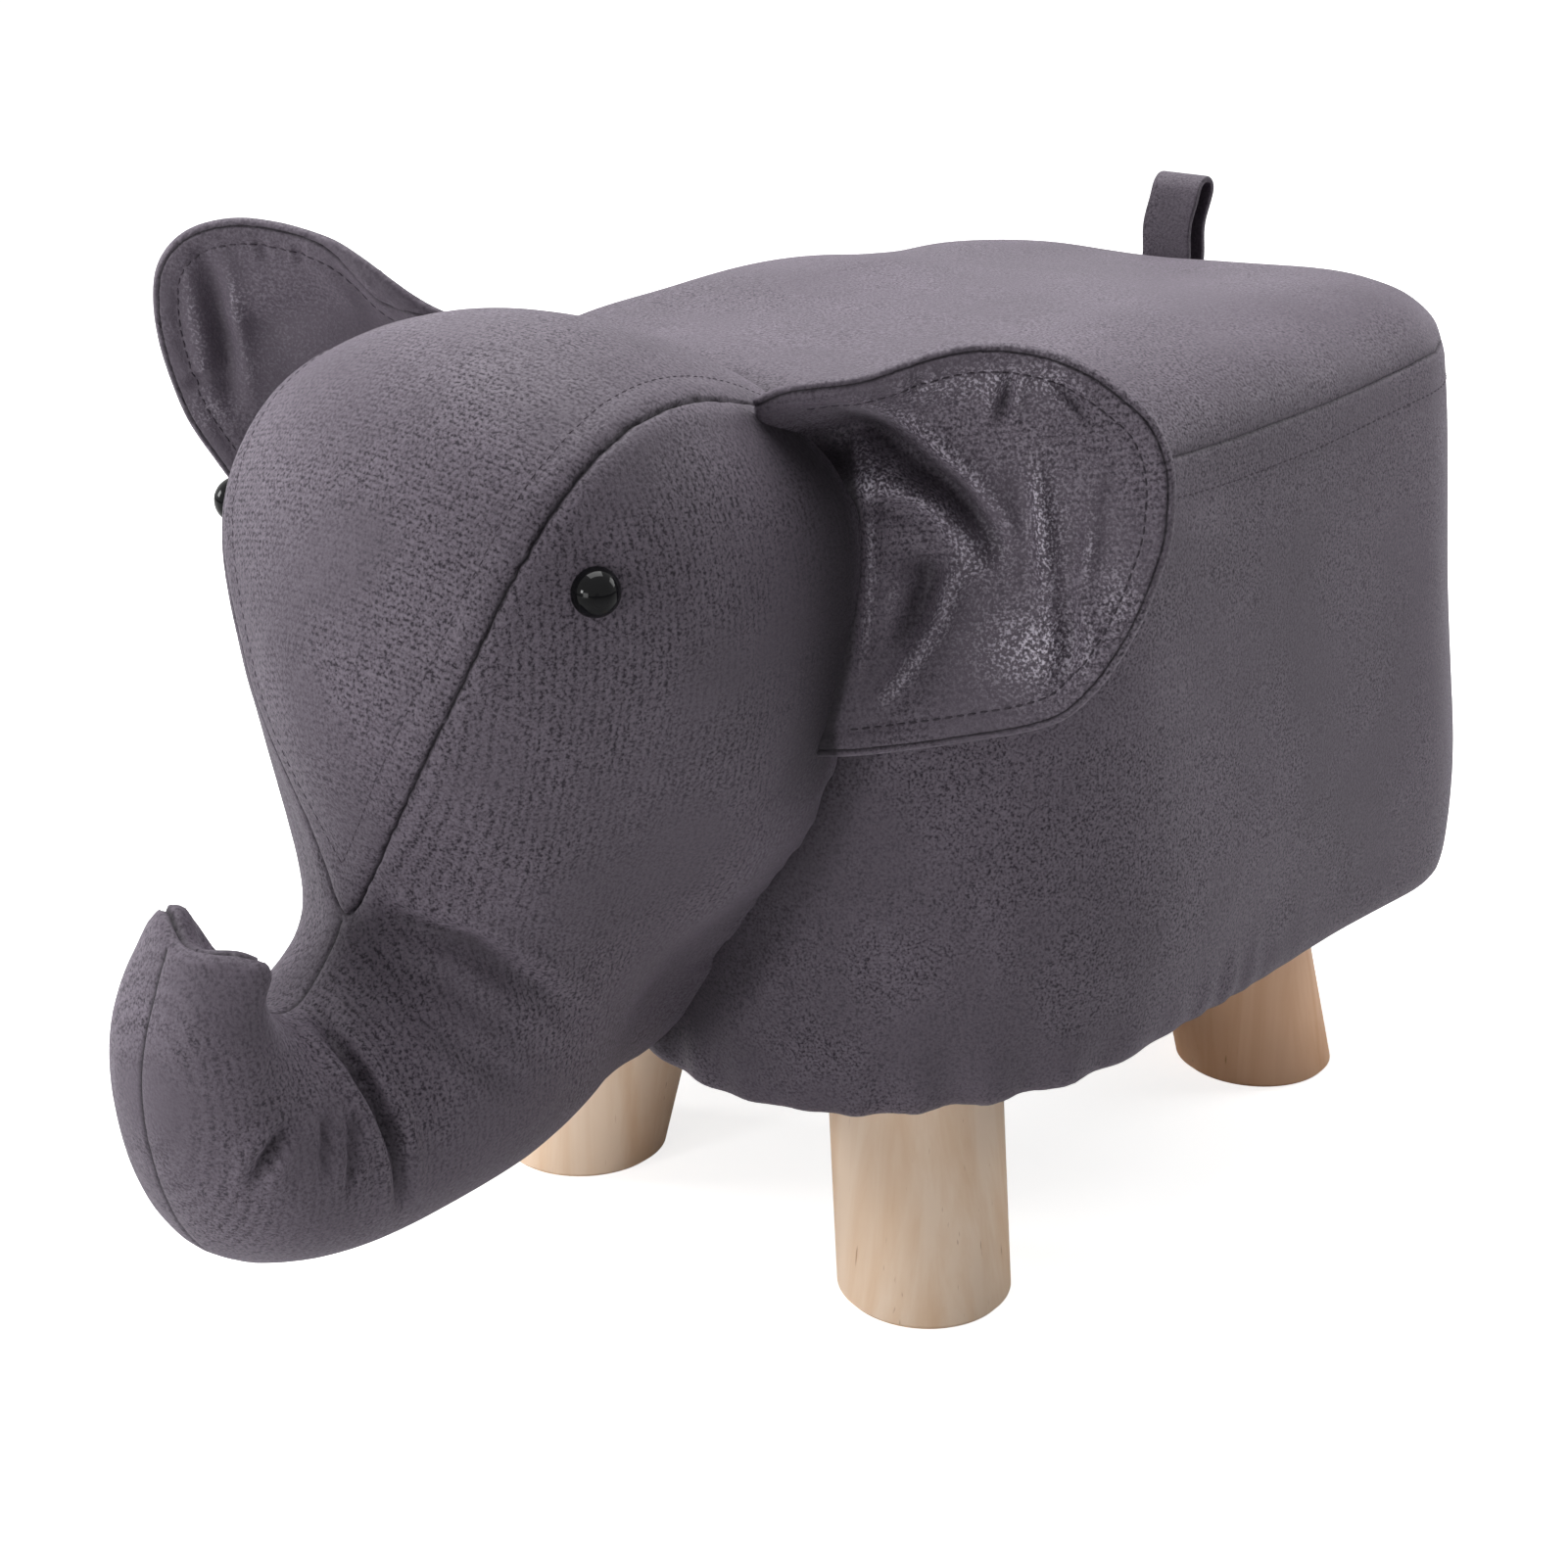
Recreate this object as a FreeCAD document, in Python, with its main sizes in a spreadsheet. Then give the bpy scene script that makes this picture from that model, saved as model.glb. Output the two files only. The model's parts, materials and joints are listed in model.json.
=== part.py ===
import FreeCAD, Part
import math
import os
import Sketcher
from FreeCAD import Vector

# A child's footstool in the shape of an elephant, in millimetres.
# It is built about the middle of its four feet, with its face towards -Y and its left side at +X.

doc = FreeCAD.newDocument("elephant_footstool")
sheet = doc.addObject("Spreadsheet::Sheet", "sizes")

driving_sizes = {
    "overrun": 5, "soft_clearance": 0.3, "seam_gap": 0.2, "fabric_thickness": 1.5,
    "leg_diameter": 50, "leg_height": 70, "leg_chamfer": 1.5,
    "foot_spacing_x": 134, "foot_spacing_y": 186, "leg_lean_x_share": 0.18, "leg_lean_y_share": 0.14,
    "base_thickness": 15, "base_half_width": 104, "base_front": 126, "base_rear": 150,
    "base_front_radius": 80, "base_rear_radius": 50,
    "band_step": 11, "band_height": 105, "band_thickness": 3, "top_thickness": 12,
    "post_side": 30, "post_spacing_y": 76, "post_center_y": 13,
    "screw_diameter": 4, "screw_length": 40, "screw_head_diameter": 8, "screw_head_height": 3.5,
    "bolt_diameter": 8, "bolt_length": 54, "bolt_in_leg": 30,
    "nut_barrel_diameter": 10, "nut_flange_diameter": 20, "nut_flange_thickness": 1.5, "nut_depth": 11,
    "cover_half_width": 116, "cover_front": 138, "cover_rear": 163,
    "cover_front_radius": 90, "cover_rear_radius": 61,
    "hem_drop": 4, "seat_foam_depth": 38, "seat_crown": 21, "hem_turn": 24,
    "dust_cover_thickness": 1, "dust_cover_inset": 12,
    "staple_crown": 10, "staple_wire": 0.7, "staple_inset": 5, "staple_count": 26,
    "head_back": 92, "head_length": 159, "head_height": 221, "head_width": 144, "jaw_drop": 4,
    "gusset_width": 108, "gusset_tip_width": 6,
    "trunk_length": 144, "trunk_height": 98, "trunk_width": 80,
    "eye_diameter": 12, "eye_setback": 220.5, "eye_rise": 168.7, "eye_yaw_angle": 42, "eye_pitch_angle": 12,
    "eye_sink": 1, "eye_stem_diameter": 4, "eye_stem_length": 9,
    "eye_washer_diameter": 14, "eye_washer_thickness": 1.5,
    "ear_reach": 86, "ear_edge": 3, "ear_thickness": 8, "ear_cup": 9,
    "ear_top_rise": 192, "ear_low_rise": 106, "ear_root_setback": 135, "ear_root_lean": 14,
    "ear_roll_diameter": 6, "ear_roll_offset": 2, "ear_web_depth": 34,
    "left_ear_sweep_angle": 30, "right_ear_sweep_angle": -30,
    "left_ear_lift_share": 0.0, "right_ear_lift_share": 0.32,
    "tail_strap_width": 18, "tail_strap_thickness": 2.2, "tail_loop_height": 26, "tail_loop_depth": 11,
    "tail_offset": 15, "tail_inset": 9, "tail_roll_diameter": 6,
}

# Heights that follow from the sizes above: the base lies on the legs, the seat is stacked on the base,
# and the head hangs with its jaw just below the base.
derived_sizes = {
    "hem_height": "=leg_height - hem_drop",
    "seam_height": "=leg_height + base_thickness + band_height + top_thickness + seat_foam_depth",
    "jaw_height": "=leg_height - jaw_drop",
    "eye_height": "=leg_height + eye_rise",
    "ear_root_top": "=leg_height + ear_top_rise",
    "ear_root_low": "=leg_height + ear_low_rise",
}

# The cover's outline at each height between hem and seam:
# height, half width, front and rear, as shares of the cover's own sizes.
cover_level_shares = [
    (0.00, 0.962, 0.962, 0.984),
    (0.14, 1.000, 0.993, 1.000),
    (0.48, 0.974, 1.000, 1.000),
    (0.80, 0.922, 0.993, 0.988),
    (1.00, 0.888, 0.971, 0.969),
]

# The seat's crown: rise above the seam as a share of the crown, inset as a share of the half width.
crown_level_shares = [(0.0, 0.0), (0.48, 0.05), (0.80, 0.16), (0.96, 0.34), (1.0, 0.5)]

# Rings of the head, from its back to the root of the trunk. Each ring stands across the head from the
# jaw line to the brow line: jaw point and brow point (shares of the head's length and height), half width,
# height of the widest point along the ring, gusset width and the seam's drop below the brow.
head_ring_shares = [
    (0.025, 0.045, 0.000, 0.814, 0.773, 0.62, 0.81, 0.070),
    (0.113, 0.036, 0.164, 0.905, 0.880, 0.64, 0.85, 0.070),
    (0.176, 0.027, 0.352, 0.968, 0.960, 0.66, 0.89, 0.070),
    (0.220, 0.023, 0.553, 1.000, 1.000, 0.68, 0.96, 0.068),
    (0.252, 0.018, 0.742, 0.977, 1.000, 0.70, 1.00, 0.070),
    (0.277, 0.014, 0.893, 0.887, 0.893, 0.72, 0.96, 0.070),
    (0.308, 0.009, 0.981, 0.747, 0.747, 0.72, 0.78, 0.070),
    (0.365, 0.005, 1.000, 0.579, 0.613, 0.68, 0.44, 0.060),
    (0.465, 0.000, 0.962, 0.398, 0.533, 0.62, 0.00, 0.010),
]

# Rings of the trunk, counted from the head's last ring: shift of the under point and of the upper point
# (shares of the trunk's length and height), and half width.
trunk_ring_shares = [
    (0.207, -0.010, 0.043, -0.109, 0.95),
    (0.443, -0.020, 0.086, -0.185, 0.90),
    (0.657, -0.020, 0.129, -0.228, 0.85),
    (0.850, 0.043, 0.171, -0.228, 0.80),
    (0.950, 0.239, 0.207, -0.185, 0.70),
    (1.000, 0.533, 0.229, -0.120, 0.63),
    (0.993, 0.793, 0.250, -0.054, 0.55),
    (0.936, 0.978, 0.271, -0.011, 0.45),
]
trunk_widest_share = 0.52
round_share = math.sqrt(0.5)

# An ear's outline: distance out along its reach, then low edge, top edge (shares of the root's length),
# and how deep it is cupped there.
ear_outline_shares = [
    (0.04, 0.00, 1.00, 0.30),
    (0.20, -0.03, 1.05, 0.75),
    (0.40, -0.01, 1.10, 1.00),
    (0.60, 0.06, 1.12, 0.95),
    (0.80, 0.19, 1.05, 0.70),
    (0.93, 0.36, 0.92, 0.35),
    (1.00, 0.50, 0.80, 0.10),
]
ear_root_thickness_share = 0.45
ear_swell_share = 2
ear_lift_power = 0.6
ear_skin_share = 0.3


def fill_sheet():
    for row, (alias, content) in enumerate({**driving_sizes, **derived_sizes}.items(), start=1):
        sheet.set(f"A{row}", alias)
        sheet.set(f"B{row}", str(content))
        sheet.setAlias(f"B{row}", alias)
    doc.recompute()


fill_sheet()


def size(alias):
    return float(sheet.get(alias))


def bind(piece, **expressions):
    for place, expression in expressions.items():
        piece.setExpression(place.replace("__", "."), expression)
    return piece


def place(piece, x="0", y="0", z="0"):
    return bind(piece, Placement__Base__x=x, Placement__Base__y=y, Placement__Base__z=z)


def cylinder(name, radius, height, **where):
    return place(bind(doc.addObject("Part::Cylinder", name), Radius=radius, Height=height), **where)


def box(name, length, width, height, **where):
    return place(bind(doc.addObject("Part::Box", name), Length=length, Width=width, Height=height), **where)


def cut(name, base, tool):
    piece = doc.addObject("Part::Cut", name)
    piece.Base = base
    piece.Tool = tool
    return piece


def gather(name, solids):
    group = doc.addObject("Part::Compound", name)
    group.Links = solids
    return group


def feature(name, shape):
    piece = doc.addObject("Part::Feature", name)
    piece.Shape = shape
    return piece


def loft(wires):
    shape = Part.makeLoft(wires, True, False)
    if shape.Volume < 0:
        shape.reverse()
    return shape


def arc(start, middle, end):
    return Part.Arc(start, middle, end).toShape()


def line(start, end):
    return Part.LineSegment(start, end).toShape()


pieces = []
corners = [("front_left", 1, -1), ("front_right", -1, -1), ("rear_left", 1, 1), ("rear_right", -1, 1)]
base_top = "sizes.leg_height + sizes.base_thickness"
top_under = base_top + " + sizes.band_height"


def keep(piece, label):
    piece.Label = label
    pieces.append(piece)
    return piece


# Flat panels: a rounded outline, wider at the front corners' radius than at the rear's.

def outline_loop(sketch, half_width, front, rear, front_radius, rear_radius):
    # Four sides and four corner arcs, tied to named sizes.
    w, f, r = [value_of(text) for text in (half_width, front, rear)]
    a, b = value_of(front_radius), value_of(rear_radius)
    first = sketch.GeometryCount
    flat = Vector(0, 0, 1)
    corner_list = [(w - a, a - f, a, -90), (w - b, r - b, b, 0),
                   (b - w, r - b, b, 90), (a - w, a - f, a, 180)]
    sides = [((a - w, -f), (w - a, -f)), ((w, a - f), (w, r - b)),
             ((w - b, r), (b - w, r)), ((-w, r - b), (-w, a - f))]
    for (start, end), (cx, cy, radius, angle) in zip(sides, corner_list):
        sketch.addGeometry(Part.LineSegment(Vector(*start), Vector(*end)))
        circle = Part.Circle(Vector(cx, cy), flat, radius)
        sketch.addGeometry(Part.ArcOfCircle(circle, math.radians(angle), math.radians(angle + 90)))
    for step in range(8):
        here, after = first + step, first + (step + 1) % 8
        sketch.addConstraint(Sketcher.Constraint("Tangent", here, 2, after, 1))
    for step, direction in ((0, "Horizontal"), (2, "Vertical"), (4, "Horizontal")):
        sketch.addConstraint(Sketcher.Constraint(direction, first + step))
    sketch.addConstraint(Sketcher.Constraint("Equal", first + 1, first + 7))
    sketch.addConstraint(Sketcher.Constraint("Equal", first + 3, first + 5))
    drive(sketch, ("DistanceX", -1, 1, first + 2, 1), w, half_width)
    drive(sketch, ("DistanceX", first + 6, 1, -1, 1), w, half_width)
    drive(sketch, ("DistanceY", first, 1, -1, 1), f, front)
    drive(sketch, ("DistanceY", -1, 1, first + 4, 1), r, rear)
    drive(sketch, ("Radius", first + 1), a, front_radius)
    drive(sketch, ("Radius", first + 3), b, rear_radius)


def drive(sketch, constraint, number, expression):
    index = sketch.addConstraint(Sketcher.Constraint(*constraint, number))
    sketch.setExpression(f"Constraints[{index}]", expression)


def value_of(expression):
    return float(sheet.evalExpression(expression.replace("sizes.", "")))


def plan(inset="0", step="0"):
    # The base panel's outline, drawn in by an inset and, for what stands on it, by a step.
    less = f" - ({inset}) - ({step})"
    names = ("base_half_width", "base_front", "base_rear", "base_front_radius", "base_rear_radius")
    return [f"sizes.{name}{less}" for name in names]


def flat_panel(name, height, under, *outlines):
    body = doc.addObject("PartDesign::Body", name)
    sketch = body.newObject("Sketcher::SketchObject", name + "_outline")
    ground = [plane for plane in body.Origin.OriginFeatures if plane.Role == "XY_Plane"][0]
    sketch.AttachmentSupport = [(ground, "")]
    sketch.MapMode = "FlatFace"
    for outline in outlines:
        outline_loop(sketch, *outline)
    pad = body.newObject("PartDesign::Pad", name + "_pad")
    pad.Profile = sketch
    bind(pad, Length=height)
    return place(body, z=under)


def make_frame():
    # Two plywood panels on four posts, with a hardboard band round the posts.
    screws = panel_screws()
    nuts = leg_nuts()
    bolts = leg_bolts()
    base = flat_panel("base_board", "sizes.base_thickness", "sizes.leg_height", plan())
    bored = cut("base_bored", base, nuts)
    drilled = cut("base_drilled", bored, bolts)
    keep(cut("base_panel", drilled, screws), "base_panel")
    top = flat_panel("top_board", "sizes.top_thickness", top_under, plan(step="sizes.band_step"))
    keep(cut("top_panel", top, screws), "top_panel")
    band_outer = plan(step="sizes.band_step")
    band_inner = plan("sizes.band_thickness", "sizes.band_step")
    keep(flat_panel("side_band", "sizes.band_height", base_top, band_outer, band_inner), "side_band")
    reach = "(sizes.base_half_width - sizes.band_step - sizes.band_thickness)"
    for name, side, end in corners:
        corner_x = f"{reach} - sizes.post_side" if side > 0 else f"-{reach}"
        corner_y = f"sizes.post_center_y + ({end}) * sizes.post_spacing_y / 2 - sizes.post_side / 2"
        post = box("post_blank_" + name, "sizes.post_side", "sizes.post_side", "sizes.band_height",
                   x=corner_x, y=corner_y, z=base_top)
        keep(cut("post_" + name, post, screws), "frame_post_" + name)
    keep(screws, "panel_screws")
    keep(nuts, "leg_tee_nuts")
    keep(bolts, "leg_hanger_bolts")


def panel_screws():
    # Countersunk screws, one up through the base and one down through the top into each post.
    reach = "(sizes.base_half_width - sizes.band_step - sizes.band_thickness - sizes.post_side / 2)"
    screws = []
    for name, side, end in corners:
        x = f"({side}) * {reach}"
        y = f"sizes.post_center_y + ({end}) * sizes.post_spacing_y / 2"
        low = "sizes.leg_height"
        high = top_under + " + sizes.top_thickness"
        for level, foot, head_foot, tip, rim in (
                ("low", low, low, "sizes.screw_diameter / 2", "sizes.screw_head_diameter / 2"),
                ("high", high + " - sizes.screw_length", high + " - sizes.screw_head_height",
                 "sizes.screw_head_diameter / 2", "sizes.screw_diameter / 2")):
            shank = cylinder(f"shank_{level}_{name}", "sizes.screw_diameter / 2", "sizes.screw_length",
                             x=x, y=y, z=foot)
            head = doc.addObject("Part::Cone", f"screw_head_{level}_{name}")
            bind(head, Radius1=rim, Radius2=tip, Height="sizes.screw_head_height")
            place(head, x=x, y=y, z=head_foot)
            screw = doc.addObject("Part::Fuse", f"screw_{level}_{name}")
            screw.Base = shank
            screw.Tool = head
            screws.append(screw)
    return gather("screw_group", screws)


def leg_top(side, end):
    # The middle of a leg's level top, as two expressions.
    x = f"({side}) * (sizes.foot_spacing_x / 2 - sizes.leg_lean_x_share * sizes.leg_height)"
    y = f"({end}) * (sizes.foot_spacing_y / 2 - sizes.leg_lean_y_share * sizes.leg_height)"
    return x, y


def leg_bolts():
    bolts = []
    for name, side, end in corners:
        x, y = leg_top(side, end)
        bolts.append(cylinder("bolt_" + name, "sizes.bolt_diameter / 2", "sizes.bolt_length",
                              x=x, y=y, z="sizes.leg_height - sizes.bolt_in_leg"))
    return gather("bolt_group", bolts)


def leg_nuts():
    # Tee nuts: a barrel down into the base and a flange on its upper face, bored for the bolt.
    nuts = []
    for name, side, end in corners:
        x, y = leg_top(side, end)
        barrel = cylinder("nut_barrel_" + name, "sizes.nut_barrel_diameter / 2", "sizes.nut_depth",
                          x=x, y=y, z=base_top + " - sizes.nut_depth")
        flange = cylinder("nut_flange_" + name, "sizes.nut_flange_diameter / 2", "sizes.nut_flange_thickness",
                          x=x, y=y, z=base_top)
        bore = cylinder("nut_bore_" + name, "sizes.bolt_diameter / 2",
                        "sizes.nut_depth + sizes.nut_flange_thickness + 2 * sizes.overrun",
                        x=x, y=y, z=base_top + " - sizes.nut_depth - sizes.overrun")
        nut = doc.addObject("Part::Fuse", "nut_blank_" + name)
        nut.Base = barrel
        nut.Tool = flange
        nuts.append(cut("nut_" + name, nut, bore))
    return gather("nut_group", nuts)


def leaning_rod(name, side, end, radius):
    # A rod along a leg's leaning axis, from below the floor to above the base's underside.
    lean = Vector(-side * size("leg_lean_x_share"), -end * size("leg_lean_y_share"), 1)
    foot = Vector(side * size("foot_spacing_x") / 2, end * size("foot_spacing_y") / 2, 0)
    length = "sizes.leg_height * 2 + sizes.leg_diameter * 2"
    rod = bind(doc.addObject("Part::Cylinder", name), Radius=radius, Height=length)
    below = foot - lean * size("leg_diameter")
    rod.Placement = FreeCAD.Placement(below, FreeCAD.Rotation(Vector(0, 0, 1), lean))
    return rod


def make_legs():
    # Round legs that lean in towards the seat, cut level at the floor and at the base.
    bolts = doc.getObject("bolt_group")
    span = "2 * (sizes.base_half_width + sizes.base_rear)"
    room = box("leg_room", span, span, "sizes.leg_height", x=f"-{span} / 2", y=f"-{span} / 2", z="0")
    for name, side, end in corners:
        rod = leaning_rod("leg_rod_" + name, side, end, "sizes.leg_diameter / 2")
        blank = doc.addObject("Part::Common", "leg_blank_" + name)
        blank.Base = rod
        blank.Tool = room
        doc.recompute()
        eased = doc.addObject("Part::Chamfer", "leg_eased_" + name)
        eased.Base = blank
        ease = size("leg_chamfer")
        edges = enumerate(blank.Shape.Edges, start=1)
        eased.Edges = [(number, ease, ease) for number, edge in edges if edge.BoundBox.ZMax < ease]
        keep(cut("leg_" + name, eased, bolts), "leg_" + name)


# Soft forms of the seat: outlines of lines and arcs, lofted from hem to crown.

def outline_wire(height, half_width, front, rear, front_radius, rear_radius):
    w, f, r, a, b = half_width, front, rear, front_radius, rear_radius
    corner_list = [(w - a, a - f, a, -90), (w - b, r - b, b, 0),
                   (b - w, r - b, b, 90), (a - w, a - f, a, 180)]
    edges = []
    ends = []
    for cx, cy, radius, angle in corner_list:
        turn = [math.radians(angle + share * 90) for share in (0, 0.5, 1)]
        ends.append([Vector(cx + radius * math.cos(t), cy + radius * math.sin(t), height) for t in turn])
    for number, (start, middle, end) in enumerate(ends):
        edges.append(line(ends[number - 1][2], start))
        edges.append(arc(start, middle, end))
    return Part.Wire(edges)


def cover_wire(level, inset):
    height_share, width_share, front_share, rear_share = level
    hem, seam = size("hem_height"), size("seam_height")
    return outline_wire(
        hem + height_share * (seam - hem),
        size("cover_half_width") * width_share - inset, size("cover_front") * front_share - inset,
        size("cover_rear") * rear_share - inset,
        size("cover_front_radius") * width_share - inset, size("cover_rear_radius") * width_share - inset)


def crown_wire(level, inset):
    rise_share, draw_share = level
    edge = cover_level_shares[-1]
    draw = draw_share * size("cover_half_width") + inset
    return outline_wire(
        size("seam_height") + rise_share * size("seat_crown") - (inset if rise_share else 0),
        size("cover_half_width") * edge[1] - draw, size("cover_front") * edge[2] - draw,
        size("cover_rear") * edge[3] - draw,
        size("cover_front_radius") * edge[1] - draw * round_share,
        size("cover_rear_radius") * edge[1] - draw * round_share)


def side_form(inset):
    return loft([cover_wire(level, inset) for level in cover_level_shares])


def crown_form(inset):
    return loft([crown_wire(level, inset) for level in crown_level_shares])


def slab(low, high):
    half = size("cover_half_width") * 2 + size("cover_rear")
    return Part.makeBox(2 * half, 2 * half, high - low, Vector(-half, -half, low))


def base_prism(low, high, inset):
    names = ("base_half_width", "base_front", "base_rear", "base_front_radius", "base_rear_radius")
    wire = outline_wire(low, *[size(name) - inset for name in names])
    return Part.Face(wire).extrude(Vector(0, 0, high - low))


def leg_cutters():
    cutters = []
    for name, side, end in corners:
        radius = "sizes.leg_diameter / 2 + sizes.soft_clearance"
        cutters.append(leaning_rod("leg_clearance_" + name, side, end, radius))
    doc.recompute()
    return [cutter.Shape for cutter in cutters]


def make_seat():
    fabric, gap = size("fabric_thickness"), size("soft_clearance")
    seam, crown = size("seam_height"), size("seat_crown")
    base_low = size("leg_height")
    base_high = base_low + size("base_thickness")
    top_high = base_high + size("band_height") + size("top_thickness")
    legs = leg_cutters()

    # The side cover: a fitted skin, turned in under the base at its hem.
    skin = side_form(0).cut(side_form(fabric))
    skin = skin.common(slab(base_low - fabric, seam))
    turned = base_prism(base_low - fabric, base_low, gap).cut(
        base_prism(base_low - fabric - size("overrun"), base_high, size("hem_turn")))
    edge_fill = side_form(fabric / 2).common(slab(base_low - fabric, base_low)).cut(
        base_prism(base_low - fabric - size("overrun"), base_high, size("hem_turn") / 2))
    cover = skin.fuse([turned, edge_fill]).cut(legs).removeSplitter()
    keep(feature("side_cover", cover), "side_cover")

    # The seat panel: a crowned skin that meets the side cover at the rim seam.
    panel = crown_form(0).cut(crown_form(fabric))
    keep(feature("seat_panel", panel), "seat_top_panel")

    # Foam round the band and over the base's edge, a thick pad on the top panel, and wadding over the pad.
    inner = side_form(fabric + gap)
    side_foam = inner.common(slab(base_low, top_high)).cut(
        [base_prism(base_low - size("overrun"), base_high, -gap),
         base_prism(base_high, top_high + size("overrun"), size("band_step") - gap)])
    keep(feature("side_foam", side_foam), "side_foam")
    keep(feature("seat_foam", inner.common(slab(top_high, seam))), "seat_foam")
    wadding = crown_form(fabric + gap).common(slab(seam + gap, seam + crown))
    keep(feature("seat_wadding", wadding), "seat_wadding")

    # The dust cover under the base laps the turned hem.
    thin = size("dust_cover_thickness")
    dust = base_prism(base_low - fabric - thin, base_low - fabric, size("dust_cover_inset")).cut(legs)
    keep(feature("dust_cover", dust), "dust_cover")
    keep(feature("hem_staples", hem_staples(base_low - fabric, legs)), "hem_staples")


def hem_staples(under, legs):
    # Wire staples spaced evenly along the hem, outside the dust cover.
    names = ("base_half_width", "base_front", "base_rear", "base_front_radius", "base_rear_radius")
    path = outline_wire(under, *[size(name) - size("staple_inset") for name in names])
    count = int(size("staple_count"))
    crown, wire = size("staple_crown"), size("staple_wire")
    staples = []
    for point, after in zip(path.discretize(count + 1)[:-1], path.discretize(count + 1)[1:]):
        staple = Part.makeBox(crown, wire, wire, Vector(-crown / 2, -wire / 2, -wire))
        along = after - point
        staple.Placement = FreeCAD.Placement(point, FreeCAD.Rotation(Vector(1, 0, 0), along))
        if min(staple.distToShape(leg)[0] for leg in legs) > size("soft_clearance"):
            staples.append(staple)
    return Part.makeCompound(staples)


# The head and trunk: rings across the head, each with a brow gusset and two cheeks.

class Ring:
    def __init__(self, jaw, brow, half_width, widest_share, gusset, drop_share):
        self.jaw, self.brow = jaw, brow
        self.half_width, self.widest_share = half_width, widest_share
        self.gusset, self.drop_share = gusset, drop_share

    def inset(self, depth):
        up = (self.brow - self.jaw).normalize() * depth
        share = (self.half_width - depth) / self.half_width
        return Ring(self.jaw + up, self.brow - up, self.half_width - depth, self.widest_share,
                    self.gusset * share, self.drop_share)

    def point(self, x, share):
        on_line = self.jaw + (self.brow - self.jaw) * share
        return Vector(x, on_line.y, on_line.z)

    def seam(self, side):
        return self.point(side * self.gusset, 1 - self.drop_share)

    def gusset_arc(self, trim=0):
        half = self.gusset - trim
        return self.point(half, 1 - self.drop_share), self.brow, self.point(-half, 1 - self.drop_share)

    def cheek(self, side):
        # Two arcs that meet upright at the widest point: seam to widest, widest to jaw.
        length = (self.brow - self.jaw).Length
        upper = self.bow(side, self.gusset, (1 - self.drop_share - self.widest_share) * length, 1 / length)
        lower = self.bow(side, 0, -self.widest_share * length, 1 / length)
        widest = self.point(side * self.half_width, self.widest_share)
        return (self.seam(side), upper, widest), (widest, lower, self.jaw)

    def bow(self, side, inner_x, rise, per_length):
        # The middle of an arc that leaves the widest point upright and ends at inner_x.
        across = self.half_width - inner_x
        if abs(rise) <= across:
            x = inner_x + across * round_share
            return self.point(side * x, self.widest_share + rise * round_share * per_length)
        radius = (across ** 2 + rise ** 2) / (2 * across)
        half_turn = math.asin(abs(rise) / radius) / 2
        x = self.half_width - radius * (1 - math.cos(half_turn))
        height = math.copysign(radius * math.sin(half_turn), rise)
        return self.point(side * x, self.widest_share + height * per_length)


def head_rings():
    back, length, width = size("head_back"), size("head_length"), size("head_width") / 2
    low, height = size("jaw_height"), size("head_height")
    rings = []
    for jaw_y, jaw_z, brow_y, brow_z, wide, widest_share, gusset, drop_share in head_ring_shares:
        jaw = Vector(0, -back - jaw_y * length, low + jaw_z * height)
        brow = Vector(0, -back - brow_y * length, low + brow_z * height)
        half_gusset = max(gusset * size("gusset_width"), size("gusset_tip_width")) / 2
        rings.append(Ring(jaw, brow, wide * width, widest_share, half_gusset, drop_share))
    return rings


def trunk_rings(first, half_gusset):
    length, height, width = size("trunk_length"), size("trunk_height"), size("trunk_width") / 2
    rings = [first]
    for jaw_y, jaw_z, brow_y, brow_z, wide in trunk_ring_shares:
        jaw = first.jaw + Vector(0, -jaw_y * length, jaw_z * height)
        brow = first.brow + Vector(0, -brow_y * length, brow_z * height)
        rings.append(Ring(jaw, brow, wide * width, trunk_widest_share, half_gusset, first.drop_share))
    return rings


def ring_wire(ring):
    edges = [arc(*ring.gusset_arc())]
    (seam, upper, widest), (_, lower, jaw) = ring.cheek(-1)
    edges += [arc(seam, upper, widest), arc(widest, lower, jaw)]
    (seam, upper, widest), (_, lower, jaw) = ring.cheek(1)
    edges += [arc(jaw, lower, widest), arc(widest, upper, seam)]
    return Part.Wire(edges)


def ring_solid(rings, inset):
    return loft([ring_wire(ring.inset(inset) if inset else ring) for ring in rings])


def gusset_wire(ring, depth, trim):
    inner = ring.inset(depth)
    trim = min(trim, ring.gusset / 2)
    left, brow, right = ring.gusset_arc(trim)
    in_left, in_brow, in_right = inner.gusset_arc(trim)
    return Part.Wire([
        arc(left, brow, right), line(right, in_right), arc(in_right, in_brow, in_left), line(in_left, left)])


def cheek_wire(ring, side, depth, trim):
    inner = ring.inset(depth)
    (seam, upper, widest), (_, lower, jaw) = ring.cheek(side)
    (in_seam, in_upper, in_widest), (_, in_lower, in_jaw) = inner.cheek(side)
    aside = Vector(side * trim, 0, 0)
    return Part.Wire([
        arc(seam, upper, widest), arc(widest, lower, jaw + aside), line(jaw + aside, in_jaw + aside),
        arc(in_jaw + aside, in_lower, in_widest), arc(in_widest, in_upper, in_seam), line(in_seam, seam)])


def surface_x(solid, y, z):
    # Half width of a solid at one height and setback.
    ray = line(Vector(0, y, z), Vector(size("head_width"), y, z))
    return solid.common(ray).BoundBox.XMax


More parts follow.
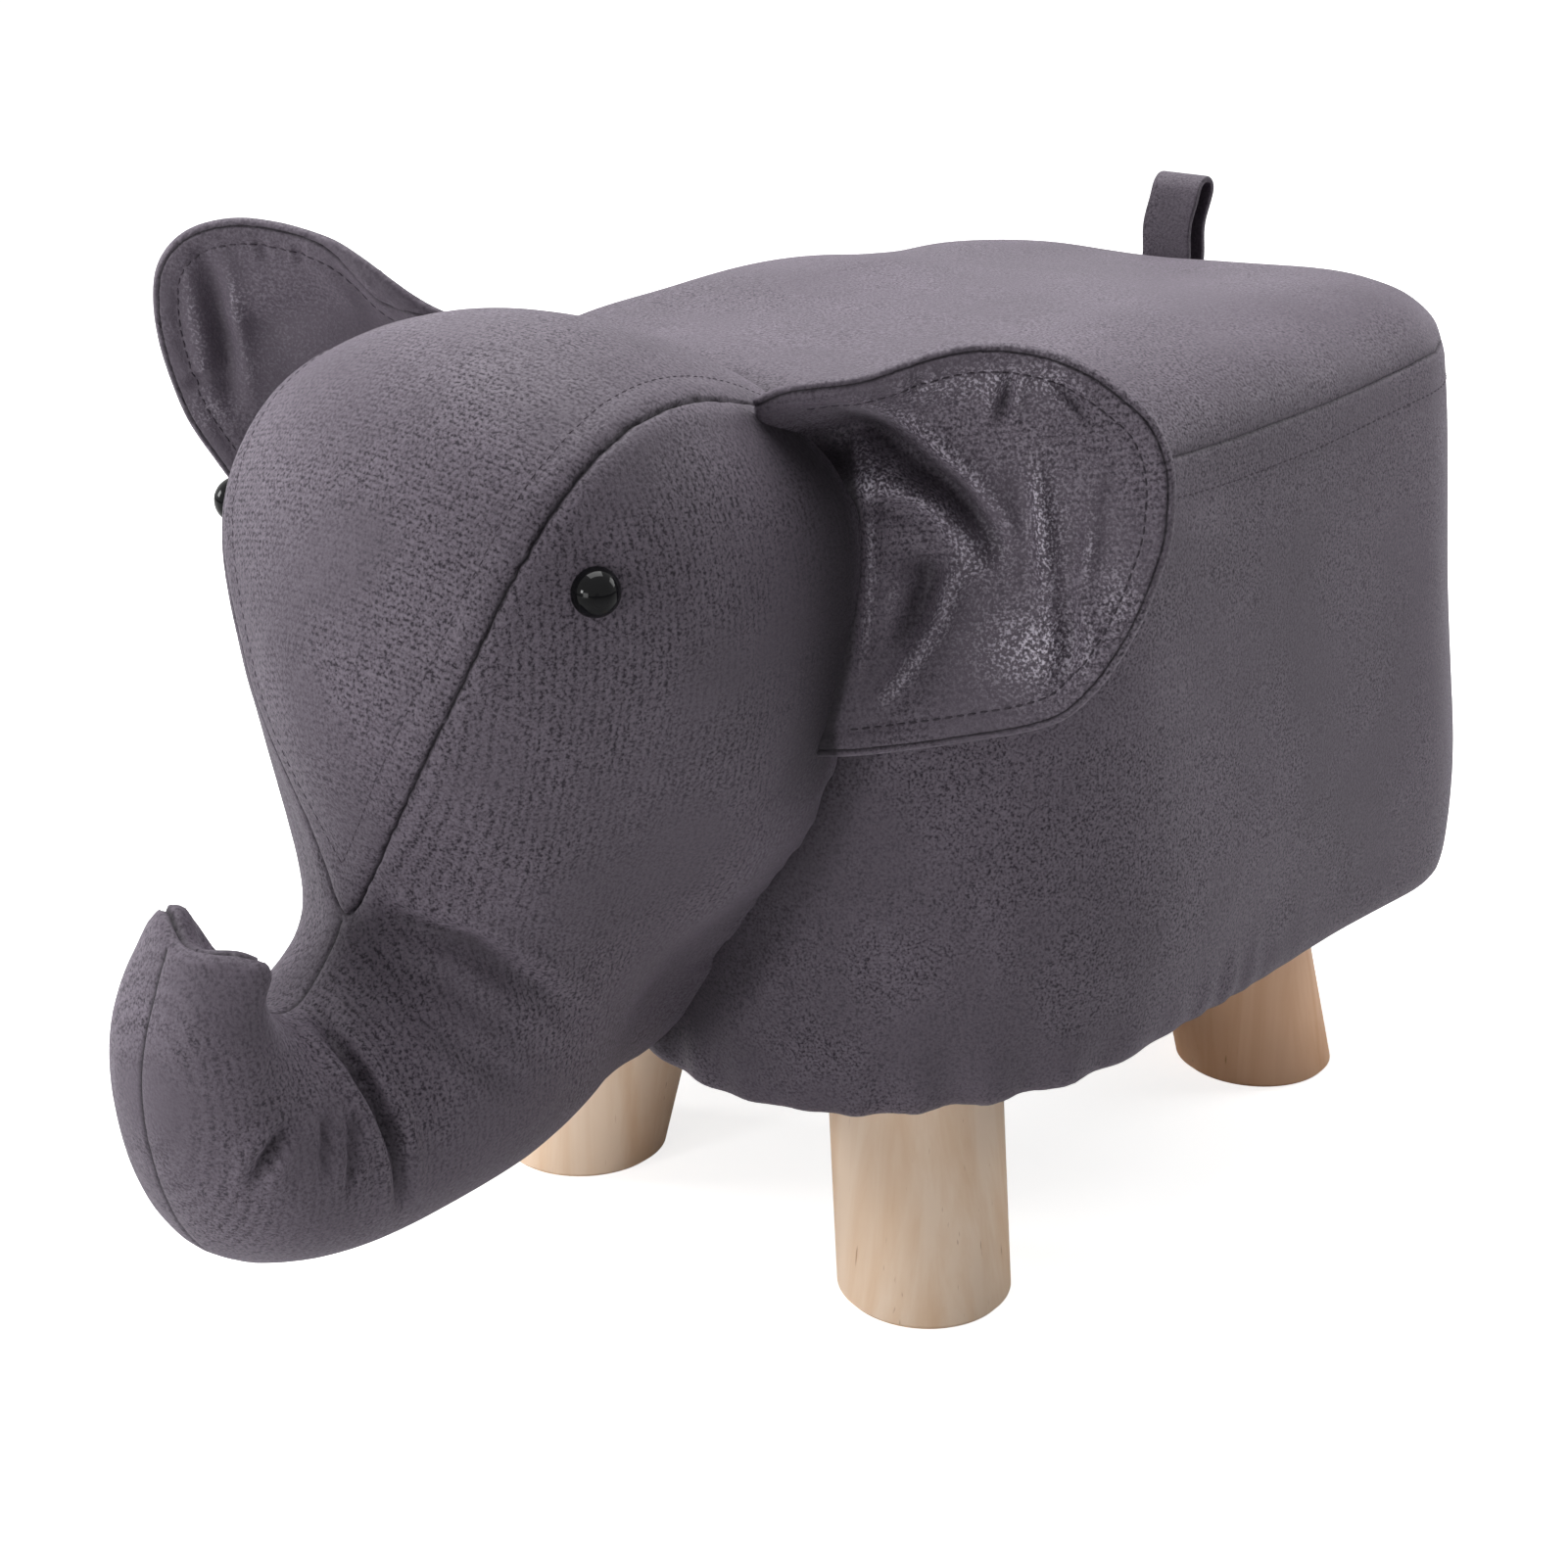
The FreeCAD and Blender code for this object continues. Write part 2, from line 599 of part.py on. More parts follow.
def make_head(body_room):
    fabric, gap, trim = size("fabric_thickness"), size("soft_clearance"), size("seam_gap")
    rings = head_rings()
    trunk = trunk_rings(rings[-1], trim)
    whole = rings + trunk[1:]
    outer = ring_solid(whole, 0)
    behind = behind_ring(rings[-1])
    eyes = make_eyes(outer)
    eye_room = [eye.Shape for eye in eyes]
    gusset = loft([gusset_wire(ring, fabric, trim) for ring in whole[:len(rings) + 1]])
    keep(feature("forehead_gusset", gusset.common(behind).cut(body_room)), "forehead_panel")
    stuffing = ring_solid(whole, fabric + gap)
    filling = stuffing.common(behind).cut([body_room, gusset] + eye_room)
    keep(feature("head_filling", filling), "head_stuffing")
    keep(feature("trunk_filling", stuffing.cut(behind)), "trunk_stuffing")
    for name, side in (("left", 1), ("right", -1)):
        cheek = loft([cheek_wire(ring, side, fabric, trim) for ring in whole])
        keep(feature(name + "_cheek", cheek.cut([body_room] + eye_room)), name + "_cheek_panel")
    keep(feature("trunk_end", trunk_end(trunk)), "trunk_end_panel")
    return outer, ring_solid(whole, -gap)


def behind_ring(ring):
    # All the room on the head's side of a ring's plane.
    up = (ring.brow - ring.jaw).normalize()
    onward = Vector(1, 0, 0).cross(up)
    half = size("head_length") + size("head_height")
    room = Part.makeBox(2 * half, 2 * half, 2 * half)
    corner = ring.jaw - Vector(half, 0, 0) - up * half - onward * 2 * half
    room.Placement = FreeCAD.Placement(corner, FreeCAD.Rotation(Vector(1, 0, 0), up, onward, "XYZ"))
    return room


def trunk_end(trunk):
    # A panel that closes the trunk's end, square to its last ring.
    last, before = trunk[-1], trunk[-2]
    across = (last.brow - last.jaw).cross(Vector(1, 0, 0)).normalize()
    onward = (last.jaw + last.brow) - (before.jaw + before.brow)
    if across.dot(onward) < 0:
        across = -across
    shape = Part.Face(ring_wire(last)).extrude(across * size("fabric_thickness"))
    shape.translate(across * size("seam_gap"))
    return shape


def make_eyes(head):
    # Domed safety eyes: a dome on the cheek, a stem through it and a washer behind.
    y, z = -size("eye_setback"), size("eye_height")
    yaw, pitch = math.radians(size("eye_yaw_angle")), math.radians(size("eye_pitch_angle"))
    x = surface_x(head, y, z)
    rooms = []
    for name, side in (("left", 1), ("right", -1)):
        level = math.cos(pitch)
        out = Vector(side * math.cos(yaw) * level, -math.sin(yaw) * level, math.sin(pitch))
        sunk = Vector(side * x, y, z) - out * size("eye_sink")
        seat = FreeCAD.Placement(sunk, FreeCAD.Rotation(Vector(0, 0, 1), out))
        dome = bind(doc.addObject("Part::Sphere", name + "_eye_dome"), Radius="sizes.eye_diameter / 2")
        dome.Angle1 = 0
        behind = "-sizes.eye_stem_length"
        stem = cylinder(name + "_eye_stem", "sizes.eye_stem_diameter / 2", "sizes.eye_stem_length", z=behind)
        eye = doc.addObject("Part::Fuse", name + "_eye_whole")
        eye.Base = dome
        eye.Tool = stem
        eye.Placement = seat
        depth = "-sizes.fabric_thickness * 2 - sizes.eye_washer_thickness"
        disc = cylinder(name + "_washer_disc", "sizes.eye_washer_diameter / 2", "sizes.eye_washer_thickness",
                        z=depth)
        bore = cylinder(name + "_washer_bore", "sizes.eye_stem_diameter / 2", "sizes.eye_stem_length",
                        z=behind)
        washer = cut(name + "_washer_whole", disc, bore)
        washer.Placement = seat
        doc.recompute()
        keep(eye, name + "_eye")
        keep(washer, name + "_eye_washer")
        rooms += [eye, washer]
    return rooms


# The ears: two panels with wadding, cupped forwards, that flap about the seam at their root.

class Ear:
    def __init__(self, name, side, head, rooms):
        self.name, self.side, self.rooms = name, side, rooms
        y, low, top = -size("ear_root_setback"), size("ear_root_low"), size("ear_root_top")
        x = surface_x(head, y, (low + top) / 2) + size("ear_roll_offset")
        lean = size("ear_root_lean") / 2
        self.low, self.top = Vector(side * (x + lean), y, low), Vector(side * (x - lean), y, top)
        self.length = (self.top - self.low).Length
        self.up = (self.top - self.low).normalize()
        self.out = self.square(size(name + "_ear_sweep_angle"))
        front = self.up.cross(self.out)
        self.front = front if front.y < 0 else -front
        self.lift_share = size(name + "_ear_lift_share")

    def square(self, angle):
        # A direction out from the root, swept back by an angle, square to the hinge line.
        turn = math.radians(angle)
        out = Vector(self.side * math.cos(turn), math.sin(turn), 0)
        return (out - self.up * out.dot(self.up)).normalize()

    def section(self, level, near, far):
        # A strip across the ear between two shares of its thickness, 0 at the back and 1 at the front.
        out_share, low_share, top_share, cup_share = level
        reach = out_share * size("ear_reach")
        rise = self.lift_share * size("ear_reach") * out_share ** ear_lift_power
        low = self.low + self.out * reach + self.up * (low_share * self.length + rise)
        top = self.low + self.out * reach + self.up * (top_share * self.length + rise)
        thick_share = min(1, ear_root_thickness_share + out_share * ear_swell_share)
        edge, thick = size("ear_edge"), size("ear_thickness") * thick_share
        cup = size("ear_cup") * cup_share
        middle = (low + top) / 2 - self.front * cup
        arcs = []
        for share in (near, far):
            off_edge, off_middle = self.front * edge * (share - 0.5), self.front * thick * (share - 0.5)
            arcs.append((low + off_edge, middle + off_middle, top + off_edge))
        (a, b, c), (d, e, f) = arcs
        return Part.Wire([arc(a, b, c), line(c, f), arc(f, e, d), line(d, a)])

    def layer(self, near, far):
        shape = loft([self.section(level, near, far) for level in ear_outline_shares])
        return shape.cut(self.roll(size("soft_clearance")))

    def roll(self, clearance):
        # The rolled seam that the ear hangs on.
        radius = size("ear_roll_diameter") / 2 + clearance
        over = size("overrun") if clearance else 0
        return Part.makeCylinder(radius, self.length + 2 * over, self.low - self.up * over, self.up)

    def web(self):
        # The gathered fabric between the roll and the head.
        inward = -self.square(0) * size("ear_web_depth")
        half = self.up.cross(inward).normalize() * size("ear_edge") / 2
        corner_points = [self.low - half, self.top - half, self.top - half + inward, self.low - half + inward]
        return Part.Face(Part.makePolygon(corner_points + corner_points[:1])).extrude(half * 2)

    def build(self):
        skin_share = ear_skin_share
        gap_share = size("seam_gap") / size("ear_thickness")
        keep(feature(self.name + "_ear_back_panel", self.layer(0, skin_share)), self.name + "_ear_back")
        wad = self.layer(skin_share + gap_share, 1 - skin_share - gap_share)
        keep(feature(self.name + "_ear_filling", wad), self.name + "_ear_wadding")
        keep(feature(self.name + "_ear_front_panel", self.layer(1 - skin_share, 1)), self.name + "_ear_front")
        seam = self.roll(0).fuse(self.web()).cut(self.rooms).removeSplitter()
        keep(feature(self.name + "_ear_roll", seam), self.name + "_ear_seam")
        print(self.name, "ear hinge", [tuple(round(v, 2) for v in p) for p in (self.low, self.top)])


def make_ears(head, rooms):
    for name, side in (("left", 1), ("right", -1)):
        Ear(name, side, head, rooms).build()


# The tail: a folded strap that stands on the rim seam at the rear and swings about its foot.

def make_tail(body_room):
    across, back, up = Vector(1, 0, 0), Vector(0, 1, 0), Vector(0, 0, 1)
    half, wall = size("tail_loop_depth") / 2, size("tail_strap_thickness")
    width, height = size("tail_strap_width"), size("tail_loop_height")
    rim_y = size("cover_rear") * cover_level_shares[-1][3] - size("tail_inset")
    roll_radius = size("tail_roll_diameter") / 2
    foot = Vector(-size("tail_offset"), rim_y, size("seam_height") + size("seat_crown") * round_share)
    start = foot - across * (width / 2)

    def bent(radius):
        spring = height - half
        left, right = -back * radius, back * radius
        diagonal = radius * round_share
        crown_left = -back * diagonal + up * (spring + diagonal)
        crown_right = back * diagonal + up * (spring + diagonal)
        peak = up * (spring + radius)
        rise = up * spring
        return [start + p for p in (left, left + rise, crown_left, peak, crown_right, right + rise, right)]

    a, b = bent(half), bent(half - wall)
    edges = [line(a[0], a[1]), arc(a[1], a[2], a[3]), arc(a[3], a[4], a[5]), line(a[5], a[6]),
             line(a[6], b[6]), line(b[6], b[5]), arc(b[5], b[4], b[3]), arc(b[3], b[2], b[1]),
             line(b[1], b[0]), line(b[0], a[0])]
    strap = Part.Face(Part.Wire(edges)).extrude(across * width)
    over = size("overrun")
    room_radius = roll_radius + size("soft_clearance")
    room = Part.makeCylinder(room_radius, width + 2 * over, start - across * over, across)
    foot_plate = Part.makeBox(width, half * 2 - wall, wall)
    foot_plate.Placement.Base = start - back * (half - wall / 2) + up * roll_radius
    loop = strap.fuse(foot_plate).cut(room).common(
        Part.makeBox(4 * height, 4 * height, 2 * height,
                     foot + Vector(-2 * height, -2 * height, roll_radius)))
    keep(feature("tail_strap", loop.removeSplitter()), "tail_loop")
    roll = Part.makeCylinder(roll_radius, width, start, across).cut(body_room)
    keep(feature("tail_roll", roll), "tail_seam")
    print("tail hinge", tuple(round(v, 2) for v in foot))


def check_and_write():
    doc.recompute()
    for item in doc.Objects:
        if "Invalid" in item.State or "Error" in item.State:
            raise RuntimeError(f"{item.Label} failed: {item.State}")
    for piece in pieces:
        if piece.Shape.isNull() or not piece.Shape.isValid():
            raise RuntimeError(f"{piece.Label} has no valid shape")
    # The part's origin is under the middle of its whole box, on the floor.
    whole = Part.makeCompound([piece.Shape for piece in pieces]).optimalBoundingBox(False)
    to_origin = Vector(-(whole.XMin + whole.XMax) / 2, -(whole.YMin + whole.YMax) / 2, -whole.ZMin)
    print("box", round(whole.XLength, 2), round(whole.YLength, 2), round(whole.ZLength, 2))
    print("feet centre", tuple(round(v, 3) for v in to_origin))
    os.makedirs("parts", exist_ok=True)
    for piece in pieces:
        shape = piece.Shape.translated(to_origin)
        shape.exportStep(f"parts/{piece.Label}.step")
        print(piece.Label, len(shape.Solids), round(shape.Volume / 1000, 2), "cm3")


make_frame()
make_legs()
make_seat()
body_room = side_form(-size("soft_clearance")).fuse(crown_form(-size("soft_clearance")))
head, head_room = make_head(body_room)
make_ears(head, [head_room, body_room])
make_tail(body_room)
check_and_write()
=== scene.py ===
import json
import math
import bmesh
import bpy
import numpy as np
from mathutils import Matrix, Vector, geometry
from mathutils.bvhtree import BVHTree


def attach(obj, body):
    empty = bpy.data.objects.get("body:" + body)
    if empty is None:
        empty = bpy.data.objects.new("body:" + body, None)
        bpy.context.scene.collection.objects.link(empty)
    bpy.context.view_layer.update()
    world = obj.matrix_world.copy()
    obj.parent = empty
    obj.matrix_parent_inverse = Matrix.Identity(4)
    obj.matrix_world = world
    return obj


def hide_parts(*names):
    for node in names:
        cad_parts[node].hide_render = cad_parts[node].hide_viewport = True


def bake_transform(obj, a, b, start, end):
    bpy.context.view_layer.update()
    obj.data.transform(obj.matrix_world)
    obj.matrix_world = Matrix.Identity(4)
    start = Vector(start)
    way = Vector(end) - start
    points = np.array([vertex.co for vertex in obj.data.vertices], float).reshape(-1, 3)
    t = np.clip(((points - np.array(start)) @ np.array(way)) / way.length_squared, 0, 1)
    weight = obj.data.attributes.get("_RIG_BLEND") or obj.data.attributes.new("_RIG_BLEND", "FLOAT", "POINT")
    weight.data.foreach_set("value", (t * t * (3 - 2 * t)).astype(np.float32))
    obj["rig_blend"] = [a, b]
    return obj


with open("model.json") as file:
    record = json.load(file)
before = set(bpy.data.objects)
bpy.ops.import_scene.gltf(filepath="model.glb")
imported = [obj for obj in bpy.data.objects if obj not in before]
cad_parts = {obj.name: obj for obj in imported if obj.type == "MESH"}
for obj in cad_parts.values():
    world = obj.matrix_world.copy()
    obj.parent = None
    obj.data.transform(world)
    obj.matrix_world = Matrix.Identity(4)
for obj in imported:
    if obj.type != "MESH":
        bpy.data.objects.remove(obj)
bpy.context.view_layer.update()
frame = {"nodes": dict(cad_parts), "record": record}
nodes = frame["nodes"]
feetCentre = np.array((-0.002075, 0.07357, 0.0))  # the middle of the four feet, in the part's frame
# the left ear's hinge, in millimetres about the feet; the right one mirrors it
earHinge = [(76.75, -135, 176), (62.75, -135, 262)]
print("frame loaded,", len(nodes), "nodes")


# Reading and writing a mesh as arrays

def readPoints(mesh):
    points = np.empty(len(mesh.vertices) * 3)
    mesh.vertices.foreach_get("co", points)
    return points.reshape(-1, 3)


def writePoints(mesh, points):
    mesh.vertices.foreach_set("co", points.astype(np.float32).ravel())
    mesh.update()


def readNormals(mesh):
    normals = np.empty(len(mesh.vertices) * 3)
    mesh.vertex_normals.foreach_get("vector", normals)
    return normals.reshape(-1, 3)


def readField(mesh, name):
    values = np.empty(len(mesh.vertices))
    mesh.attributes[name].data.foreach_get("value", values)
    return values


def writeField(mesh, name, values):
    field = mesh.attributes.get(name) or mesh.attributes.new(name, "FLOAT", "POINT")
    field.data.foreach_set("value", np.asarray(values, np.float32))


def ease(low, high, x):
    t = np.clip((x - low) / (high - low), 0, 1)
    return t * t * (3 - 2 * t)


def fromFeet(points):
    # millimetres about the feet's centre, as the stool was measured, to metres in the part's frame
    return np.asarray(points, float) / 1000 + feetCentre


def aboutFeet(points):
    # and the other way
    return (points - feetCentre) * 1000


def runLengths(line):
    return np.concatenate([[0], np.cumsum(np.linalg.norm(np.diff(line, axis=0), axis=1))])


def atMarks(marks, runs, values):
    return np.stack([np.interp(marks, runs, column) for column in values.T], 1)


# Distances to the CAD panels, which say where each seam runs

def nodeTree(*names):
    points, faces = [], []
    for name in names:
        mesh = nodes[name].data
        start = len(points)
        points += [v.co for v in mesh.vertices]
        faces += [[start + i for i in p.vertices] for p in mesh.polygons]
    return BVHTree.FromPolygons(points, faces)


def distancesTo(points, *names):
    tree = nodeTree(*names)
    return np.array([tree.find_nearest(p)[3] for p in points])


def selectOnly(obj):
    bpy.ops.object.select_all(action="DESELECT")
    obj.select_set(True)
    bpy.context.view_layer.objects.active = obj


def editAll(obj):
    selectOnly(obj)
    bpy.ops.object.mode_set(mode="EDIT")
    bpy.ops.mesh.select_all(action="SELECT")


def leaveEdit():
    bpy.ops.object.mode_set(mode="OBJECT")


def addObject(name, data):
    obj = bpy.data.objects.new(name, data)
    bpy.context.collection.objects.link(obj)
    return obj


def applyModifier(obj, kind, **settings):
    selectOnly(obj)
    modifier = obj.modifiers.new(kind.lower(), kind)
    for key, value in settings.items():
        setattr(modifier, key, value)
    bpy.ops.object.modifier_apply(modifier=modifier.name)


# A soft blank: copies of CAD solids, joined and given an even grid of faces

def joinCopies(name, nodeNames):
    twins = []
    for nodeName in nodeNames:
        twin = nodes[nodeName].copy()
        twin.data = nodes[nodeName].data.copy()
        twin.parent = None
        twin.hide_render = twin.hide_viewport = False
        for key in list(twin.keys()):
            del twin[key]
        bpy.context.collection.objects.link(twin)
        twins.append(twin)
    selectOnly(twins[0])
    for twin in twins:
        twin.select_set(True)
    if len(twins) > 1:
        bpy.ops.object.join()
    piece = twins[0]
    piece.name = piece.data.name = name
    piece.data.materials.clear()
    return piece


def keepOuter(obj):
    # drops the small closed shells that the grid leaves inside
    bm = bmesh.new()
    bm.from_mesh(obj.data)
    left, shells = set(bm.verts), []
    while left:
        shell, edge = set(), [left.pop()]
        while edge:
            vert = edge.pop()
            shell.add(vert)
            near = [e.other_vert(vert) for e in vert.link_edges]
            fresh = [v for v in near if v in left]
            left.difference_update(fresh)
            edge += fresh
        shells.append(shell)
    shells.sort(key=len)
    bmesh.ops.delete(bm, geom=[v for shell in shells[:-1] for v in shell], context="VERTS")
    bm.to_mesh(obj.data)
    bm.free()


def softBlank(name, nodeNames, look, hull=False):
    piece = joinCopies(name, nodeNames)
    if hull:
        editAll(piece)
        bpy.ops.mesh.convex_hull()
        leaveEdit()
    applyModifier(piece, "REMESH", mode="VOXEL", voxel_size=look["cell"])
    keepOuter(piece)
    applyModifier(piece, "SMOOTH", factor=0.5, iterations=look["rounds"])
    return piece


def evenOut(mesh, values, rounds):
    # shares values among neighbours, which takes the buckles out of a move
    ends = np.empty(len(mesh.edges) * 2, int)
    mesh.edges.foreach_get("vertices", ends)
    a, b = ends.reshape(-1, 2).T
    count = np.maximum(np.bincount(ends, minlength=len(values)), 1)[:, None]
    for _ in range(rounds):
        total = np.zeros_like(values)
        np.add.at(total, a, values[b])
        np.add.at(total, b, values[a])
        values = (values + total / count) / 2
    return values


clothLook = {"stiffness": 12, "frames": 20, "evenRounds": 24, "swellRounds": 60}


def puffUp(obj, look, freedom):
    # the filling's pressure, by cloth simulation; freedom is 0 where the cloth is held, 1 where it is free
    rest, normals = readPoints(obj.data), readNormals(obj.data)
    start = rest - normals * (look["shrink"] * freedom)[:, None]
    writePoints(obj.data, start)
    cloth = obj.modifiers.new("filling", "CLOTH")
    cloth.settings.use_pressure = True
    cloth.settings.uniform_pressure_force = look["pressure"]
    cloth.settings.effector_weights.gravity = 0
    cloth.settings.tension_stiffness = cloth.settings.compression_stiffness = clothLook["stiffness"]
    for number in range(1, clothLook["frames"] + 1):
        bpy.context.scene.frame_set(number)
    grown = obj.evaluated_get(bpy.context.evaluated_depsgraph_get())
    move = readPoints(grown.data) - start
    obj.modifiers.remove(cloth)
    bpy.context.scene.frame_set(1)
    length = np.linalg.norm(move, axis=1)
    share = np.minimum(1, look["mostPuff"] / np.maximum(length, 1e-9)) * freedom
    change = evenOut(obj.data, start + move * share[:, None] - rest, clothLook["evenRounds"])
    outward = (change * normals).sum(1)
    # the wide part of the swelling comes off again, so that the skin keeps its measured size
    swell = evenOut(obj.data, outward[:, None], clothLook["swellRounds"])
    writePoints(obj.data, rest + change - normals * swell)
    print(obj.name, "puffed, most", round(float(length.max()) * 1000, 1), "mm before its cap")


# Seams: new edges along a level of a distance field, then a groove pressed along them

# an edge isn't cut where the field is steeper than this; a corner this near a level, by its edge, moves to it
cutLook = {"steepest": 4, "snap": 0.12}


def cutLevels(obj, field, levels):
    bm = bmesh.new()
    bm.from_mesh(obj.data)
    layer = bm.verts.layers.float[field]
    others = list(bm.verts.layers.float.values())
    for level in levels:
        line = set()
        for edge in list(bm.edges):
            a, b = edge.verts
            fa, fb = a[layer] - level, b[layer] - level
            length = edge.calc_length()
            if fa * fb > 0 or abs(fa - fb) > cutLook["steepest"] * length:
                continue
            for vert, value in ((a, fa), (b, fb)):
                if abs(value) < cutLook["snap"] * length:
                    vert[layer] = level
                    line.add(vert)
            if a in line or b in line:
                continue
            share = fa / (fa - fb)
            mixed = [a[other] * (1 - share) + b[other] * share for other in others]
            fresh = bmesh.utils.edge_split(edge, a, share)[1]
            for other, value in zip(others, mixed):
                fresh[other] = value
            fresh[layer] = level
            line.add(fresh)
        for face in {f for vert in line for f in vert.link_faces}:
            ends = [vert for vert in face.verts if vert in line]
            if len(ends) == 2 and not bm.edges.get(ends):
                bmesh.utils.face_split(face, ends[0], ends[1])
    bm.to_mesh(obj.data)
    bm.free()


seamLook = {"rollWide": 0.7, "darkWide": 1.1}  # by the roll's reach, and the painted shade's by the valley's width


def pressSeam(obj, field, look):
    # a narrow valley on the seam, a soft rolled edge each side of it, and painted shade along the valley
    width, reach = look["seamWidth"], look["reach"]
    cutLevels(obj, field, (-width, 0, width))
    away = np.abs(readField(obj.data, field))
    valley = -look["seamDepth"] * np.clip(1 - away / width, 0, 1)
    puff = look["roll"] * np.exp(-((away - reach) / (reach * seamLook["rollWide"])) ** 2)
    points = readPoints(obj.data) + readNormals(obj.data) * (valley + puff)[:, None]
    writePoints(obj.data, points)
    # painted shade along the seam's valley
    dark = look["seamShade"] * np.clip(1 - away / (width * seamLook["darkWide"]), 0, 1)
    if "seam" in obj.data.attributes:
        dark = np.maximum(dark, readField(obj.data, "seam"))
    writeField(obj.data, "seam", dark)


def alongLine(points, line):
    # the distance from a line, and how far along it the nearest spot is, from 0 to 1
    nearest, place = np.full(len(points), np.inf), np.zeros(len(points))
    for i in range(len(line) - 1):
        a, run = line[i], line[i + 1] - line[i]
        t = np.clip(((points - a) @ run) / (run @ run), 0, 1)
        away = np.linalg.norm(points - a - t[:, None] * run, axis=1)
        closer = away < nearest
        nearest[closer] = away[closer]
        place[closer] = (i + t[closer]) / (len(line) - 1)
    return nearest, place


# each fold tapers to its ends and has a low bank each side; the painted highlight flecks and the painted shade start
# and are full at these heights
foldLook = {"taper": 0.9, "bank": 0.5, "bankAt": 1.8, "paintedGleam": (0.3, 1.8), "shade": (0.6, 3.5)}


def foldHeight(points, folds):
    # each fold: its path, width and depth in millimetres; a depth below zero makes a ridge
    height = np.zeros(len(points))
    for path, width, depth in folds:
        away, place = alongLine(points, np.asarray(path, float))
        taper = depth * np.abs(np.sin(np.pi * place)) ** foldLook["taper"]
        bank = foldLook["bank"] * np.exp(-((away - foldLook["bankAt"] * width) / width) ** 2)
        height += taper * (bank - np.exp(-(away / width) ** 2))
    return height


def markFolds(mesh, height, where, look):
    # painted highlight flecks on the ridges and painted shade in the valleys
    writeField(mesh, "paintedGleam", look["foldPaintedGleam"] * ease(*foldLook["paintedGleam"], height) * where)
    writeField(mesh, "seam", look["foldShade"] * ease(*foldLook["shade"], -height) * where)


def pressCreases(obj, look):
    points = readPoints(obj.data)
    height = foldHeight(aboutFeet(points), look["creases"])
    writePoints(obj.data, points + readNormals(obj.data) * height[:, None] / 1000)
    # painted highlight flecks on the creases' ridges, painted shade in their valleys
    markFolds(obj.data, height, np.ones(len(points)), look)


def markWear(obj, spots):
    # where the nap is worn (above 0) or smooth (below 0): spots and reaches in millimetres about the feet
    points = aboutFeet(readPoints(obj.data))
    wear = np.zeros(len(points))
    for spot, reach, level in spots:
        wear += level * np.exp(-(np.linalg.norm(points - spot, axis=1) / reach) ** 2)
    writeField(obj.data, "wear", wear)


def grab(obj, pulls):
    # each pull: a spot, its reach and its move, in millimetres about the feet
    points = aboutFeet(readPoints(obj.data))
    moved = points.copy()
    for spot, reach, move in pulls:
        away = np.linalg.norm(points - spot, axis=1)
        moved += np.exp(-(away / reach) ** 2)[:, None] * move
    writePoints(obj.data, fromFeet(moved))


def tracePaths(obj, field, level, keep=None):
    # the level's lines over the surface, as chains of (point, normal)
    mesh = obj.data
    points, normals = readPoints(mesh), readNormals(mesh)
    values = readField(mesh, field) - level
    links, spots = {}, {}
    for polygon in mesh.polygons:
        corners = list(polygon.vertices)
        ends = []
        for a, b in zip(corners, corners[1:] + corners[:1]):
            if (values[a] < 0) != (values[b] < 0) and abs(values[a] - values[b]) < 0.02:
                key = (min(a, b), max(a, b))
                t = values[key[0]] / (values[key[0]] - values[key[1]])
                spot = points[key[0]] * (1 - t) + points[key[1]] * t
                if keep is None or keep(spot):
                    spots[key] = (spot, normals[key[0]] * (1 - t) + normals[key[1]] * t)
                    ends.append(key)
        if len(ends) == 2:
            links.setdefault(ends[0], []).append(ends[1])
            links.setdefault(ends[1], []).append(ends[0])
    paths, used = [], set()
    starts = sorted(links, key=lambda k: (len(links[k]), k))
    for start in starts:
        if start in used:
            continue
        chain, here = [], start
        while here is not None:
            used.add(here)
            chain.append(spots[here])
            here = next((k for k in links[here] if k not in used), None)
        paths.append(chain)
    return paths


def sewStitches(name, paths, look, material):
    pitch = look["pitch"]
    template = bmesh.new()
    bmesh.ops.create_uvsphere(template, u_segments=8, v_segments=5, radius=1)
    shape = np.array([v.co for v in template.verts])
    shape = shape * (look["threadThick"], look["threadThick"], look["stitch"] / 2)
    shapeFaces = [[v.index for v in f.verts] for f in template.faces]
    template.free()
    verts, faces = [], []
    for chain in paths:
        spots = np.array([c[0] for c in chain])
        ups = np.array([c[1] for c in chain])
        runs = runLengths(spots)
        if runs[-1] < 3 * pitch:
            continue
        marks = np.arange(pitch / 2, runs[-1], pitch)
        centres, up = atMarks(marks, runs, spots), atMarks(marks, runs, ups)
        ahead = atMarks(marks + pitch / 4, runs, spots)
        for centre, front, normal in zip(centres, ahead, up):
            along = front - centre
            size = np.linalg.norm(along)
            if size < 1e-7:
                continue
            along /= size
            normal = normal / np.linalg.norm(normal)
            start = len(verts)
            placed = centre + shape @ np.array((np.cross(normal, along), normal, along))
            verts += [tuple(p) for p in placed]
            faces += [[start + i for i in f] for f in shapeFaces]
    mesh = bpy.data.meshes.new(name)
    mesh.from_pydata(verts, [], faces)
    piece = addObject(name, mesh)
    finishSkin(piece, material)
    print(name, len(faces) // len(shapeFaces), "stitches")
    return piece


def finishSkin(obj, material):
    obj.data.materials.clear()
    obj.data.materials.append(material)
    obj.data.polygons.foreach_set("use_smooth", [True] * len(obj.data.polygons))
    obj.data.update()


# Materials

mixFirst, mixSecond, mixOut = 6, 7, 2  # the colour sockets of a Mix node


def newMaterial(name):
    material = bpy.data.materials.new(name)
    material.use_nodes = True
    tree = material.node_tree
    return material, tree, tree.nodes["Principled BSDF"]


def setInputs(node, values):
    for key, value in values.items():
        node.inputs[key].default_value = value


